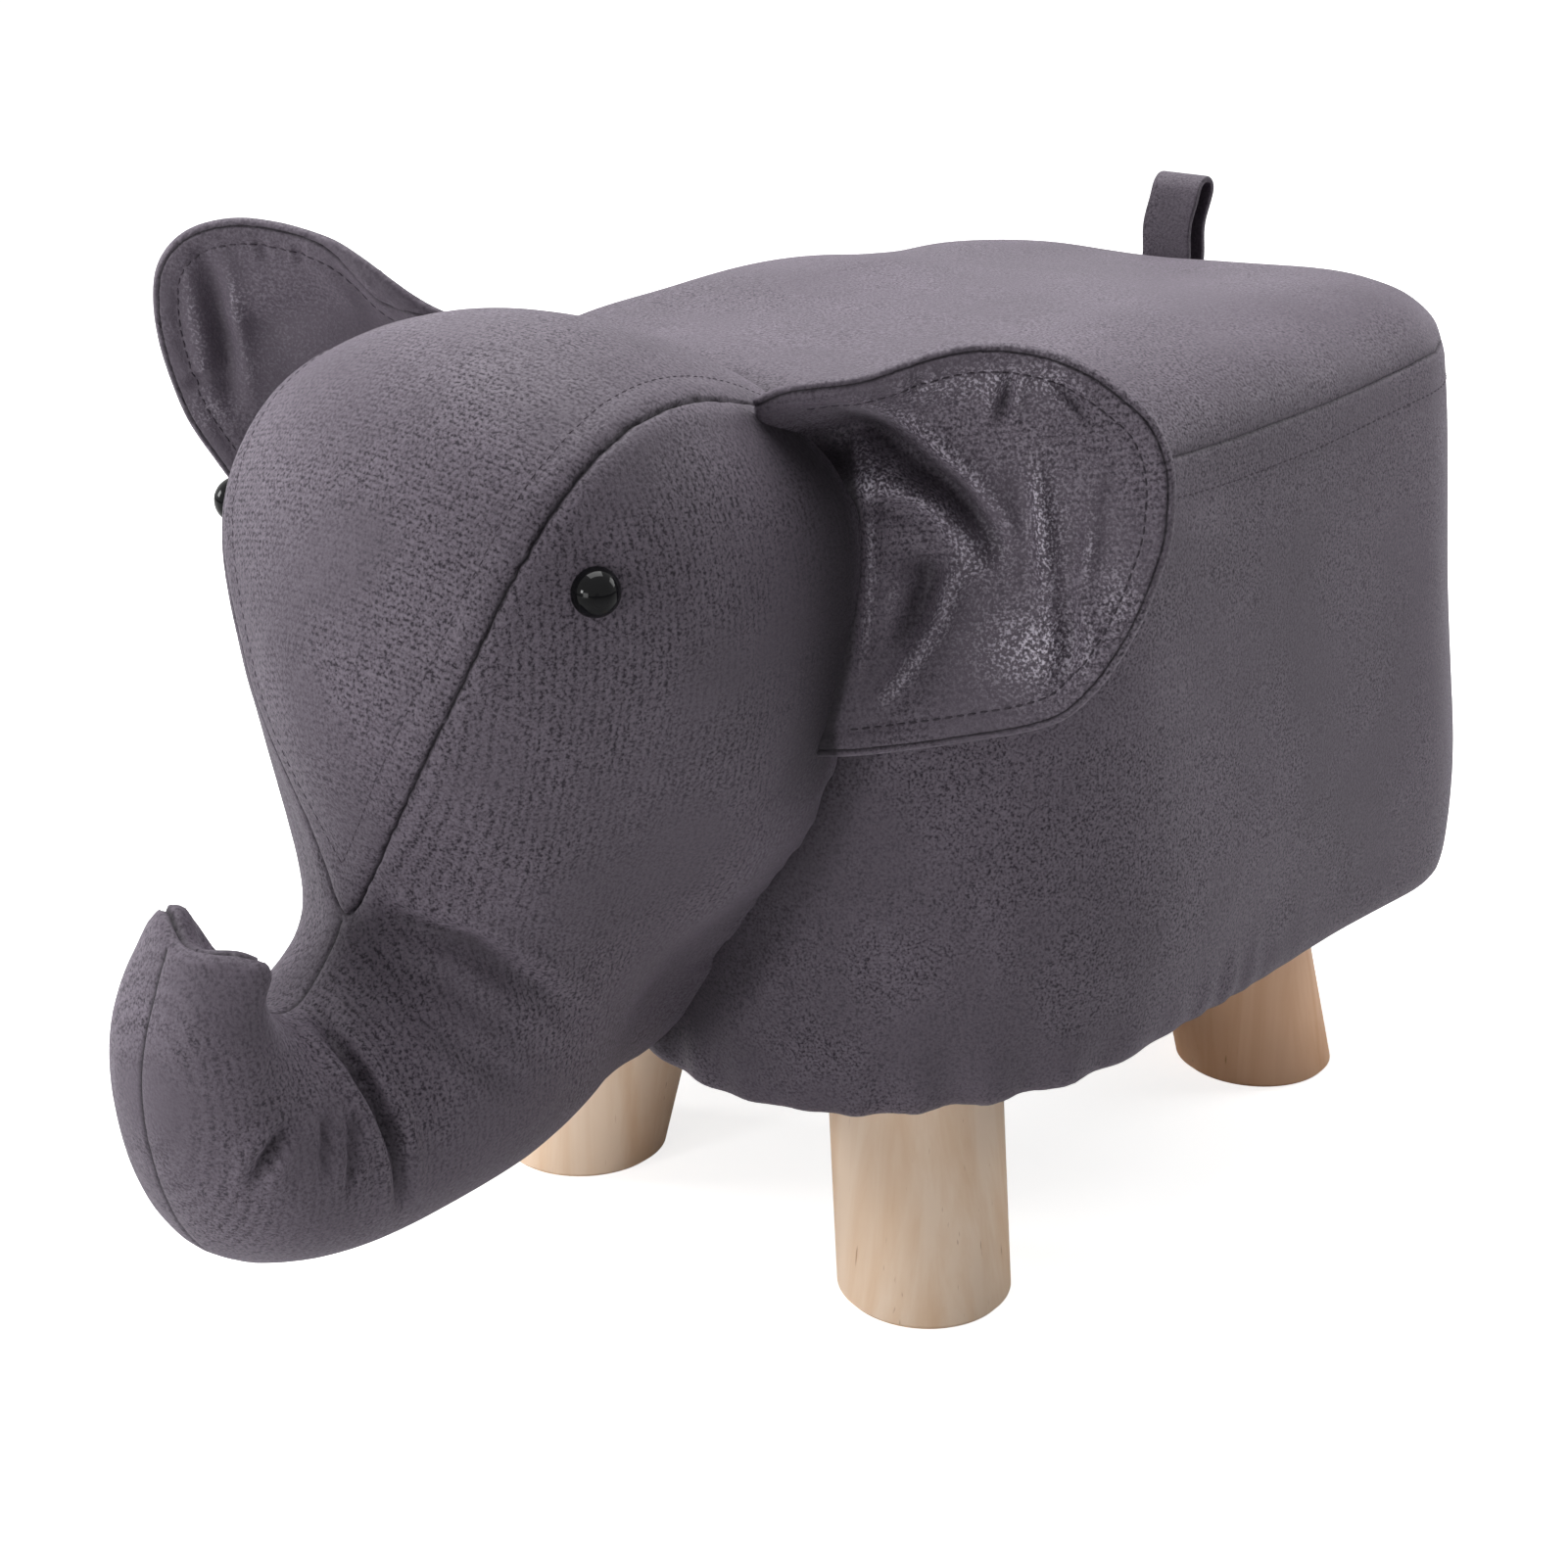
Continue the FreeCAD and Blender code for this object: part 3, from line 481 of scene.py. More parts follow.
def addNode(tree, kind, **settings):
    node = tree.nodes.new(kind)
    for key, value in settings.items():
        if key in node.inputs:
            node.inputs[key].default_value = value
        else:
            setattr(node, key, value)
    return node


def mathNode(tree, operation, second=None, **settings):
    node = addNode(tree, "ShaderNodeMath", operation=operation, **settings)
    if second is not None:
        node.inputs[1].default_value = second
    return node


def mapRange(tree, fromLow, fromHigh, toLow, toHigh):
    node = tree.nodes.new("ShaderNodeMapRange")
    setInputs(node, {"From Min": fromLow, "From Max": fromHigh, "To Min": toLow, "To Max": toHigh})
    return node


def mixColour(tree, blend="MIX", **colours):
    node = addNode(tree, "ShaderNodeMix", data_type="RGBA", blend_type=blend)
    for key, socket in (("first", mixFirst), ("second", mixSecond)):
        if key in colours:
            node.inputs[socket].default_value = (*colours[key], 1)
    return node


def wire(tree, *links):
    for a, outName, b, inName in links:
        tree.links.new(a.outputs[outName], b.inputs[inName])


def colourRamp(tree, *stops):
    node = tree.nodes.new("ShaderNodeValToRGB")
    ramp = node.color_ramp
    while len(ramp.elements) < len(stops):
        ramp.elements.new(0.5)
    for element, (place, colour) in zip(ramp.elements, stops):
        element.position = place
        element.color = (*colour, 1)
    return node


# ranges run from low and high to low and high
suedeLook = {
    "dark": (0.36, (0.022, 0.017, 0.025)), "mid": (0.47, (0.101, 0.0845, 0.1065)),
    # the gleam colour is a painted highlight, put on ridges and patches
    # the seam colour is painted shade, put in seam valleys, folds, at the ears' roots and where parts meet
    "light": (0.66, (0.160, 0.136, 0.169)), "paintedGleam": (0.52, 0.48, 0.555), "seam": (0.014, 0.011, 0.015),
    "poreScale": 1250, "patchScale": 26, "mottleScale": 14, "ribPitch": 0.0021, "ribs": 0.043,
    "worn": (0.40, 0.60, 0.30, 1.0), "cloudy": (0.3, 0.7, 0.86, 1.14), "rough": (0.35, 0.65, 0.75, 0.50),
    "noFleck": (0.50, (0, 0, 0)), "fleck": (0.62, (1, 1, 1)), "polish": -0.16,
    "bump": {"Strength": 0.5, "Distance": 0.0005},
    "finish": {"Sheen Weight": 0.22, "Sheen Roughness": 0.40, "Sheen Tint": (0.72, 0.66, 0.76, 1),
               "Specular IOR Level": 0.22},
}


def suedeCloth():
    look = suedeLook
    material, tree, shader = newMaterial("grey_suede_cloth")
    coords = addNode(tree, "ShaderNodeTexCoord")
    pores = addNode(tree, "ShaderNodeTexNoise", Scale=look["poreScale"], Detail=3.0, Roughness=0.6)
    patches = addNode(tree, "ShaderNodeTexNoise", Scale=look["patchScale"], Detail=3.0, Roughness=0.55)
    mottle = addNode(tree, "ShaderNodeTexNoise", Scale=look["mottleScale"], Detail=4.0, Roughness=0.6)
    rib, wear, paintedGleam, seam = (addNode(tree, "ShaderNodeAttribute", attribute_name=name)
                              for name in ("rib", "wear", "paintedGleam", "seam"))
    ribTurn = mathNode(tree, "MULTIPLY", 2 * math.pi / look["ribPitch"])
    ribWave = mathNode(tree, "SINE")
    height = mathNode(tree, "MULTIPLY_ADD", look["ribs"])
    tones = colourRamp(tree, look["dark"], look["mid"], look["light"])
    worn = mapRange(tree, *look["worn"])
    wornMore = mathNode(tree, "ADD", use_clamp=True)
    grainy = mixColour(tree, first=look["mid"][1])
    cloudy = mapRange(tree, *look["cloudy"])
    shade = mixColour(tree, "MULTIPLY")
    shade.inputs["Factor"].default_value = 1
    flecks = colourRamp(tree, look["noFleck"], look["fleck"])
    # painted highlight: pale flecks where the gleam field is high; the same field also lowers the roughness
    highlightFlecks = mathNode(tree, "MULTIPLY")
    paintedHighlight = mixColour(tree, second=look["paintedGleam"])
    # painted shade: the dark seam colour where the seam field is high
    paintedShade = mixColour(tree, second=look["seam"])
    rough = mapRange(tree, *look["rough"])
    polished = mathNode(tree, "MULTIPLY_ADD", look["polish"])
    bump = addNode(tree, "ShaderNodeBump", **look["bump"])
    wire(tree,
         (coords, "Object", pores, "Vector"), (coords, "Object", patches, "Vector"),
         (coords, "Object", mottle, "Vector"),
         (rib, "Fac", ribTurn, 0), (ribTurn, 0, ribWave, 0), (ribWave, 0, height, 0),
         (pores, "Fac", height, 2), (height, 0, tones, "Fac"), (patches, "Fac", worn, "Value"),
         (worn, "Result", wornMore, 0), (wear, "Fac", wornMore, 1), (wornMore, 0, grainy, "Factor"),
         (tones, "Color", grainy, mixSecond),
         (mottle, "Fac", cloudy, "Value"), (grainy, mixOut, shade, mixFirst), (cloudy, "Result", shade, mixSecond),
         (pores, "Fac", flecks, "Fac"), (flecks, "Color", highlightFlecks, 0), (paintedGleam, "Fac", highlightFlecks, 1),
         (highlightFlecks, 0, paintedHighlight, "Factor"), (shade, mixOut, paintedHighlight, mixFirst),
         (seam, "Fac", paintedShade, "Factor"), (paintedHighlight, mixOut, paintedShade, mixFirst), (paintedShade, mixOut, shader, "Base Color"),
         (pores, "Fac", rough, "Value"), (paintedGleam, "Fac", polished, 0), (rough, "Result", polished, 2),
         (polished, 0, shader, "Roughness"),
         (height, 0, bump, "Height"), (bump, "Normal", shader, "Normal"))
    setInputs(shader, look["finish"])
    return material


pineLook = {
    "tan": (0.32, (0.84, 0.60, 0.41)), "pale": (0.60, (0.93, 0.73, 0.56)), "fleck": (0.52, 0.30, 0.16),
    "noPore": (0.73, (0, 0, 0)), "pore": (0.82, (0.8, 0.8, 0.8)), "grain": (110, 110, 2.4), "pores": (900, 900, 45),
    "rearShadeTint": (0.98, 0.80, 0.68), "rear": (0.06, 0.14, 0, 1),  # painted shade: the rear legs are tinted darker and redder
    "bump": {"Strength": 0.12, "Distance": 0.0004}, "finish": {"Roughness": 0.55, "Specular IOR Level": 0.3},
}


def palePine():
    look = pineLook
    material, tree, shader = newMaterial("pale_pine")
    coords = addNode(tree, "ShaderNodeTexCoord")
    stretch = addNode(tree, "ShaderNodeMapping", Scale=look["grain"])
    poreMap = addNode(tree, "ShaderNodeMapping", Scale=look["pores"])
    grain = addNode(tree, "ShaderNodeTexNoise", Scale=1.0, Detail=5.0, Roughness=0.6, Distortion=0.4)
    pores = addNode(tree, "ShaderNodeTexNoise", Scale=1.0, Detail=1.0, Roughness=0.5)
    tones = colourRamp(tree, look["tan"], look["pale"])
    flecks = colourRamp(tree, look["noPore"], look["pore"])
    mixed = mixColour(tree, second=look["fleck"])
    place = addNode(tree, "ShaderNodeSeparateXYZ")
    # painted shade: the rear legs darker and redder
    rear = mapRange(tree, *look["rear"])
    rearShaded = mixColour(tree, "MULTIPLY", second=look["rearShadeTint"])
    bump = addNode(tree, "ShaderNodeBump", **look["bump"])
    wire(tree,
         (coords, "Object", stretch, "Vector"), (coords, "Object", poreMap, "Vector"),
         (stretch, "Vector", grain, "Vector"), (poreMap, "Vector", pores, "Vector"),
         (grain, "Fac", tones, "Fac"), (pores, "Fac", flecks, "Fac"),
         (tones, "Color", mixed, mixFirst), (flecks, "Color", mixed, "Factor"),
         (coords, "Object", place, 0), (place, "Y", rear, "Value"), (rear, "Result", rearShaded, "Factor"),
         (mixed, mixOut, rearShaded, mixFirst), (rearShaded, mixOut, shader, "Base Color"),
         (grain, "Fac", bump, "Height"), (bump, "Normal", shader, "Normal"))
    setInputs(shader, look["finish"])
    return material


speckLook = {"darkAt": 0.3, "lightAt": 0.7, "bump": {"Strength": 0.1, "Distance": 0.0002}}


def speckled(name, dark, light, scale, roughness, metallic=0.0, polished=False, shine=0.2):
    material, tree, shader = newMaterial(name)
    coords = addNode(tree, "ShaderNodeTexCoord")
    grain = addNode(tree, "ShaderNodeTexNoise", Scale=scale, Detail=3.0)
    tones = colourRamp(tree, (speckLook["darkAt"], dark), (speckLook["lightAt"], light))
    wire(tree, (coords, "Object", grain, "Vector"), (grain, "Fac", tones, "Fac"),
         (tones, "Color", shader, "Base Color"))
    if not polished:
        bump = addNode(tree, "ShaderNodeBump", **speckLook["bump"])
        wire(tree, (grain, "Fac", bump, "Height"), (bump, "Normal", shader, "Normal"))
    setInputs(shader, {"Roughness": roughness, "Metallic": metallic, "Specular IOR Level": shine})
    return material


suede = suedeCloth()
pine = palePine()
eyeBlack = speckled("black_glass_eye", (0.003, 0.003, 0.0035), (0.005, 0.005, 0.006), 200, 0.07, polished=True,
                    shine=0.14)
thread = speckled("dark_thread", (0.028, 0.023, 0.030), (0.060, 0.050, 0.063), 1500, 0.75)
softThread = speckled("grey_thread", (0.058, 0.048, 0.061), (0.090, 0.075, 0.094), 1500, 0.75)
lining = speckled("black_lining", (0.010, 0.010, 0.011), (0.030, 0.030, 0.032), 1200, 0.9)
zinc = speckled("zinc_plate", (0.55, 0.55, 0.57), (0.72, 0.72, 0.73), 400, 0.35, metallic=1.0)
board = speckled("sanded_board", (0.52, 0.38, 0.25), (0.68, 0.53, 0.36), 90, 0.7)
foamStuff = speckled("foam_and_filling", (0.72, 0.69, 0.58), (0.86, 0.84, 0.76), 700, 0.9)
whitePlastic = speckled("white_plastic", (0.74, 0.74, 0.74), (0.80, 0.80, 0.80), 300, 0.5)
slotLooks = {
    "cover_fabric": suede, "pine": pine, "plywood": board, "post_wood": board, "hardboard": board, "steel": zinc,
    "eye_black": eyeBlack, "eye_washer": whitePlastic, "foam": foamStuff, "filling": foamStuff, "lining": lining,
}
for part in frame["record"]["subparts"]:
    mesh = nodes[part["node"]].data
    mesh.materials.clear()
    mesh.materials.append(slotLooks[part["material_slot"]])
print("materials ready")


# Camera, floor and light

viewLook = {"place": (468.6, -647.2, 424.3), "back": (0.5893, -0.7197, 0.3671), "lens": 62.997, "sensor": 36}
cameraData = bpy.data.cameras.new("camera")
camera = addObject("camera", cameraData)
camera.location = fromFeet(viewLook["place"])
camera.rotation_mode = "QUATERNION"
camera.rotation_quaternion = Vector(viewLook["back"]).to_track_quat("Z", "Y")
cameraData.lens = viewLook["lens"]
cameraData.sensor_width = viewLook["sensor"]
bpy.context.scene.camera = camera
bpy.context.scene.view_settings.view_transform = "Standard"

lightLook = {
    "world": 0.04,  # what the surround gives as light; it is seen and mirrored as white
    "lamps": [  # name, place, aim, width and watts
        ("overhead", (-0.35, 0.20, 1.60), (0.0, 0.05, 0.15), 1.3, 35),
        ("front", (-0.45, -1.75, 0.55), (0.0, -0.05, 0.12), 0.30, 8),
        ("left", (-1.5, -0.9, 0.7), (0.0, -0.05, 0.12), 0.5, 10),
        ("low", (0.1, -1.7, 0.18), (0.0, -0.05, 0.10), 0.6, 7),
        ("rear", (0.9, 1.4, 1.0), (0.0, 0.0, 0.2), 0.8, 11),
    ],
}


def hangLamp(name, place, aim, width, watts):
    data = bpy.data.lights.new(name, "AREA")
    data.size = width
    data.energy = watts
    lamp = addObject(name, data)
    lamp.location = place
    lamp.rotation_mode = "QUATERNION"
    lamp.rotation_quaternion = (Vector(aim) - Vector(place)).to_track_quat("-Z", "Y")


for lampLook in lightLook["lamps"]:
    hangLamp(*lampLook)


def whiteSurround():
    world = bpy.data.worlds.new("studio")
    bpy.context.scene.world = world
    world.use_nodes = True
    tree = world.node_tree
    path = addNode(tree, "ShaderNodeLightPath")
    seen, seenAll = mathNode(tree, "MAXIMUM"), mathNode(tree, "MAXIMUM")
    level = mapRange(tree, 0, 1, lightLook["world"], 1)
    background = tree.nodes["Background"]
    background.inputs["Color"].default_value = (1, 1, 1, 1)
    wire(tree, (path, "Is Camera Ray", seen, 0), (path, "Is Glossy Ray", seen, 1), (seen, 0, seenAll, 0),
         (path, "Is Transmission Ray", seenAll, 1), (seenAll, 0, level, "Value"),
         (level, "Result", background, "Strength"))


# the glow is a range by distance in metres
floorLook = {"size": 8, "colour": (0.85, 0.85, 0.85, 1), "glow": (0.35, 1.1, 0.80, 1.0)}


def paleFloor():
    bpy.ops.mesh.primitive_plane_add(size=floorLook["size"], location=(0, 0, 0))
    floor = bpy.context.active_object
    floor.name = "studio_floor"
    material, tree, shader = newMaterial("white_floor")
    tree.nodes.remove(shader)
    path = addNode(tree, "ShaderNodeLightPath")
    glow = addNode(tree, "ShaderNodeEmission")
    coords = addNode(tree, "ShaderNodeTexCoord")
    reach = addNode(tree, "ShaderNodeVectorMath", operation="LENGTH")
    fade = mapRange(tree, *floorLook["glow"])
    level = mathNode(tree, "MULTIPLY")
    matte = addNode(tree, "ShaderNodeBsdfDiffuse", Color=floorLook["colour"])
    both = addNode(tree, "ShaderNodeAddShader")
    wire(tree, (coords, "Object", reach, 0), (reach, "Value", fade, "Value"), (fade, "Result", level, 1),
         (path, "Is Camera Ray", level, 0), (level, 0, glow, "Strength"), (glow, 0, both, 0), (matte, 0, both, 1),
         (both, 0, tree.nodes["Material Output"], "Surface"))
    floor.data.materials.append(material)


whiteSurround()
paleFloor()
print("camera, light and floor ready")


# The seat: one padded skin from the seat panel and the side cover, parted along the rim seam

seatLook = {
    "cell": 0.0045, "rounds": 3, "shrink": 0.002, "pressure": 4.0, "mostPuff": 0.004,
    "seamWidth": 0.0007, "seamDepth": 0.0006, "roll": 0.0002, "reach": 0.004, "seamShade": 0.5,
    "stitchLine": 0.0110, "pitch": 0.0030, "stitch": 0.0019, "threadThick": 0.00026,
    "freeFromHead": (0.001, 0.014), "freeFromHem": (0.002, 0.02),
    "hemWave": 0.0022, "hemReach": 0.028, "hemWaves": 46, "hemLift": 0.7, "hemSide": (0.02, 0.06),
    "hemFade": 0.93, "hemFadeRun": (-0.05, 0.02),  # the gathers all but end along this stretch
    "wear": [((116, -58, 150), 48, 0.5), ((118, 85, 165), 70, -0.35), ((0, 60, 262), 90, -0.3),
             ((-116, -30, 150), 60, 0.4)],
    "tuck": 0.0015, "tuckReach": 0.012, "tuckShade": 0.45,  # where the head is sewn on: pressed in, with painted shade
    "pulls": [
        ((-72, 6, 258), 52, (0, 0, 4.8)), ((-46, 108, 259), 62, (0, 0, -6.0)), ((40, 120, 258), 40, (0, 0, -1.5)),
        ((24, -134, 72), 34, (0, 0, -6.6)), ((66, -124, 73), 22, (0, 0, -2.5)), ((112, -52, 73), 42, (0, 0, 2.6)),
        ((114, 108, 84), 42, (3.6, 2.2, -1.0)), ((-114, 108, 84), 42, (-3.6, 2.2, -1.0)),
    ],
}
headNodes = ["head_stuffing", "trunk_stuffing", "forehead_panel", "left_cheek_panel", "right_cheek_panel",
             "trunk_end_panel"]


def waveHem(points, normals, hemHeight):
    # uneven gathers round the low edge
    look = seatLook
    across, along, _ = (points - feetCentre).T
    turn = np.arctan2(along, across)
    low = 1 - ease(0, look["hemReach"], points[:, 2] - hemHeight)
    wave = np.sin(turn * look["hemWaves"] + 2.1 * np.sin(turn * 5)) * (0.6 + 0.4 * np.sin(turn * 7 + 1))
    wave *= 1 - look["hemFade"] * ease(*look["hemFadeRun"], along)
    side = ease(*look["hemSide"], np.hypot(normals[:, 0], normals[:, 1]))
    push = look["hemWave"] * low * wave * side
    points += normals * push[:, None]
    points[:, 2] += look["hemLift"] * push


def makeSeat():
    look = seatLook
    skin = softBlank("seat_skin", ["side_cover", "seat_top_panel"], look, hull=True)
    points = readPoints(skin.data)
    writeField(skin.data, "rim", distancesTo(points, "seat_top_panel") - distancesTo(points, "side_cover"))
    hemHeight = points[:, 2].min()
    freedom = ease(*look["freeFromHead"], distancesTo(points, *headNodes))
    puffUp(skin, look, freedom * ease(*look["freeFromHem"], points[:, 2] - hemHeight))
    applyModifier(skin, "SUBSURF", levels=1, render_levels=1)
    grab(skin, look["pulls"])
    points, normals = readPoints(skin.data), readNormals(skin.data)
    waveHem(points, normals, hemHeight)
    near = 1 - ease(0, look["tuckReach"], distancesTo(points, *headNodes))
    points -= normals * (look["tuck"] * near)[:, None]
    writePoints(skin.data, points)
    # painted shade beside the head
    writeField(skin.data, "seam", look["tuckShade"] * near)
    pressSeam(skin, "rim", look)
    writeField(skin.data, "rib", np.zeros(len(skin.data.vertices)))
    markWear(skin, look["wear"])
    stitches = sewStitches("rim_topstitch", tracePaths(skin, "rim", look["stitchLine"]), look, softThread)
    finishSkin(skin, suede)
    return skin, stitches


seatSkin, rimStitches = makeSeat()


def partSeat(skin):
    # the seat panel becomes a piece of its own, parted from the side cover at the seam's edges
    rim = readField(skin.data, "rim")
    selectOnly(skin)
    bpy.ops.object.mode_set(mode="EDIT")
    bpy.ops.mesh.select_all(action="DESELECT")
    leaveEdit()
    for polygon in skin.data.polygons:
        polygon.select = bool(sum(rim[i] for i in polygon.vertices) < 0)
    bpy.ops.object.mode_set(mode="EDIT")
    bpy.ops.mesh.separate(type="SELECTED")
    leaveEdit()
    panel = next(o for o in bpy.context.selected_objects if o is not skin)
    panel.name = panel.data.name = "seat_panel_skin"
    skin.name = skin.data.name = "side_cover_skin"
    return panel, skin


seatPanel, sideCover = partSeat(seatSkin)
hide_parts("seat_top_panel", "seat_wadding", "seat_foam", "tail_seam")
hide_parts("side_cover", "side_foam")
for piece in (seatPanel, sideCover, rimStitches):
    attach(piece, "stool")
print("seat ready")


# The head: forehead gusset, two cheeks and the trunk's end, filled tight

headLook = {
    "cell": 0.0038, "rounds": 3, "shrink": 0.002, "pressure": 4.0, "mostPuff": 0.004,
    "sunk": 0.010, "sunkReach": (0.0005, 0.006), "freeFromBody": (0.001, 0.012),
    "atBody": 0.006, "onPanel": 0.004, "underGusset": 0.003, "offGusset": 0.03,  # how near a panel counts as on it
    "seamWidth": 0.0007, "seamDepth": 0.0014, "roll": 0.0005, "reach": 0.004, "seamShade": 1.0,
    # the creases' painted highlight and painted shade
    "chin": {"seamDepth": 0.00042, "roll": 0.0001}, "foldPaintedGleam": 0.05, "foldShade": 0.7,
    "earShade": 0.93, "earShadeReach": (5, 32), "earShadeFront": (-2, 6),  # painted shade under the ears, in millimetres from the ear's hinge
    "stitchLine": -0.0085, "pitch": 0.0029, "stitch": 0.0018, "threadThick": 0.00021,
    "wear": [((57, -226, 220), 38, 0.55), ((20, -262, 150), 26, 0.4), ((-57, -226, 220), 38, 0.4),
             ((72, -158, 196), 40, -0.35), ((8, -300, 120), 22, -0.3)],
    "pulls": [
        ((-40, -240, 210), 26, (2.4, 2.0, 0)), ((-29, -241, 176), 24, (2.4, 2.0, 0)),
        ((14, -286, 78), 28, (0, 2.0, 3.8)), ((-5, -308, 152), 18, (1.2, 3.4, 0)), ((-4, -310, 122), 30, (0.4, 1.6, 0)),
        ((-9, -293, 160), 9, (1.5, 4.0, 4.0)), ((17, -291, 156), 8, (5.5, 3.5, 1.5)), ((2, -291, 159), 8, (0, 0, -5.0)),
        ((64, -142, 244), 20, (6, 8, 0)), ((69, -142, 222), 20, (2.5, 4, 0)),
        ((-64, -142, 244), 20, (-6, 8, 0)), ((-69, -142, 222), 20, (-2.5, 4, 0)),
        ((45, -147, 121), 24, (-4.2, -1.4, 4.0)), ((28, -152, 99), 22, (-4.2, -1.4, 4.0)),
        ((-45, -147, 121), 24, (4.2, -1.4, 4.0)), ((-28, -152, 99), 22, (4.2, -1.4, 4.0)),
    ],
    "creases": [
        ([(4.8, -259.2, 133.6), (15.5, -262.7, 128.1), (25.4, -262.7, 120.5), (32.3, -261.5, 108.7),
          (33.6, -260.5, 95.5), (33.4, -259.5, 84)], 2.3, 4.6),
        ([(27.5, -286, 121), (26.6, -290.8, 116.3), (25.6, -294.3, 112.2), (23.7, -298, 104)], 2.2, 3.2),
        ([(27.2, -277, 119), (28.1, -277.8, 115.7), (30.1, -280.2, 109.2), (30.5, -281, 103)], 1.8, 2.0),
        ([(29, -270.5, 116), (29.9, -271.5, 112.1), (32.4, -274.5, 102.8), (32.6, -276, 96)], 1.8, 2.2),
        ([(10, -243, 155), (15.4, -241.1, 151.9), (31.1, -231.9, 146.5), (39.0, -217.1, 131.7),
          (35, -196, 112)], 3.6, 2.6),
        ([(18, -250, 140), (30, -245, 132), (37, -236, 120), (37, -222, 104)], 3.2, 1.8),
    ],
}


def sinkInto(skin, look, *names):
    # the skin's edge runs on into the pieces that it is sewn to
    tree = nodeTree(*names)
    points = readPoints(skin.data)
    for i, point in enumerate(points):
        _, normal, _, away = tree.find_nearest(point)
        points[i] -= np.array(normal) * look["sunk"] * (1 - ease(*look["sunkReach"], away))
    writePoints(skin.data, points)


def shadeUnderEars(skin, look):
    # painted shade on the cheek where it runs in under the ear
    points = aboutFeet(readPoints(skin.data))
    dark = readField(skin.data, "seam")
    for turn in (1, -1):
        line = np.array(earHinge) * (turn, 1, 1)
        near = 1 - ease(*look["earShadeReach"], alongLine(points, line)[0])
        front = 1 - ease(*look["earShadeFront"], points[:, 1] - line[0, 1])
        dark = np.maximum(dark, look["earShade"] * near * front)
    writeField(skin.data, "seam", dark)


def makeHead():
    look = headLook
    skin = softBlank("head_skin", headNodes, look)
    points = readPoints(skin.data)
    gusset, left, right, end = (distancesTo(points, name) for name in (
        "forehead_panel", "left_cheek_panel", "right_cheek_panel", "trunk_end_panel"))
    body = distancesTo(points, "side_cover", "seat_top_panel")
    cheek = np.minimum(left, right)
    joined = body < look["atBody"]
    offPanels = joined & (np.minimum(gusset, cheek) > look["onPanel"])
    offChin = (gusset < look["underGusset"]) | (end < look["onPanel"]) | joined
    # a field of 1 is far from its seam, so none is cut there
    writeField(skin.data, "gusset", np.where(offPanels, 1, gusset - cheek))
    writeField(skin.data, "chin", np.where(offChin, 1, left - right))
    writeField(skin.data, "end", np.where(gusset < look["offGusset"], 1, end - cheek))
    sinkInto(skin, look, "side_cover", "seat_top_panel")
    puffUp(skin, look, ease(*look["freeFromBody"], body))
    applyModifier(skin, "SUBSURF", levels=1, render_levels=1)
    grab(skin, look["pulls"])
    pressCreases(skin, look)
    shadeUnderEars(skin, look)
    pressSeam(skin, "gusset", look)
    pressSeam(skin, "end", look)
    pressSeam(skin, "chin", {**look, **look["chin"]})
    points = readPoints(skin.data)
    onGusset = readField(skin.data, "gusset") < 0
    writeField(skin.data, "rib", np.where(onGusset, points[:, 2] + points[:, 1], points[:, 1]))
    markWear(skin, look["wear"])
    stitches = sewStitches("gusset_topstitch", tracePaths(skin, "gusset", look["stitchLine"]), look, softThread)
    finishSkin(skin, suede)
    return skin, stitches


headSkin, gussetStitches = makeHead()
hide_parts(*headNodes)
for piece in (headSkin, gussetStitches):
    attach(piece, "stool")
print("head ready")


# The left eye sits a little further back than its twin

eyeLook = {"shift": (2.5, 4.1, -1.4), "weld": 0.00002, "smoothBelow": 40}


def makeEye():
    eye = joinCopies("left_eye_dome", ["left_eye"])
    editAll(eye)
    bpy.ops.mesh.remove_doubles(threshold=eyeLook["weld"])
    bpy.ops.transform.translate(value=np.array(eyeLook["shift"]) / 1000)
    leaveEdit()
    bpy.ops.object.shade_smooth_by_angle(angle=math.radians(eyeLook["smoothBelow"]))
    eye.data.materials.append(eyeBlack)
    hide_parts("left_eye")
    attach(eye, "stool")


makeEye()
print("eye ready")


# The ears: thin wadded flaps, sewn round the rim and into the cheek seam

earLook = {
    "sweep": 30, "cell": 1.15, "stand": 0.6, "cup": 9.0, "cupReach": (0, 36), "cupOut": (0, 24),
    "band": 1.5, "edge": 2.2, "fill": 2.3, "fillReach": (9, 30), "hoodUp": (55, 78), "hoodFrom": 4,
    "dent": 0.5, "dentWide": 1.5, "pucker": 0.22, "puckerWide": 5, "foldFrom": (1.5, 6), "backFolds": 0.4,
    "shrink": 0.0003, "pressure": 1.0, "mostPuff": 0.0008, "freeFromRim": (3, 12), "freeFromRoot": (0, 8),
    "seamWidth": 0.0005, "seamDepth": 0.0008, "roll": 0.0002, "reach": 0.003, "seamShade": 1.0,
    # the folds' painted highlight and painted shade
    "seamIn": 1.8, "dipUp": (60, 80), "foldPaintedGleam": 0.4, "foldShade": 0.55,
    "stitchLine": 7.0, "stitchesFrom": -0.004, "pitch": 0.0030, "stitch": 0.0022, "threadThick": 0.00032,
    "root": [(-6.9, 9.4), (-0.7, 26.7), (3.8, 47.2), (5.6, 61.9), (4.9, 73.4), (3.5, 90)],
    # painted shade along the ear's root
    "rootShade": 0.9, "rootEdge": (-1.2, 0.6), "rootFade": (74, 88),
}
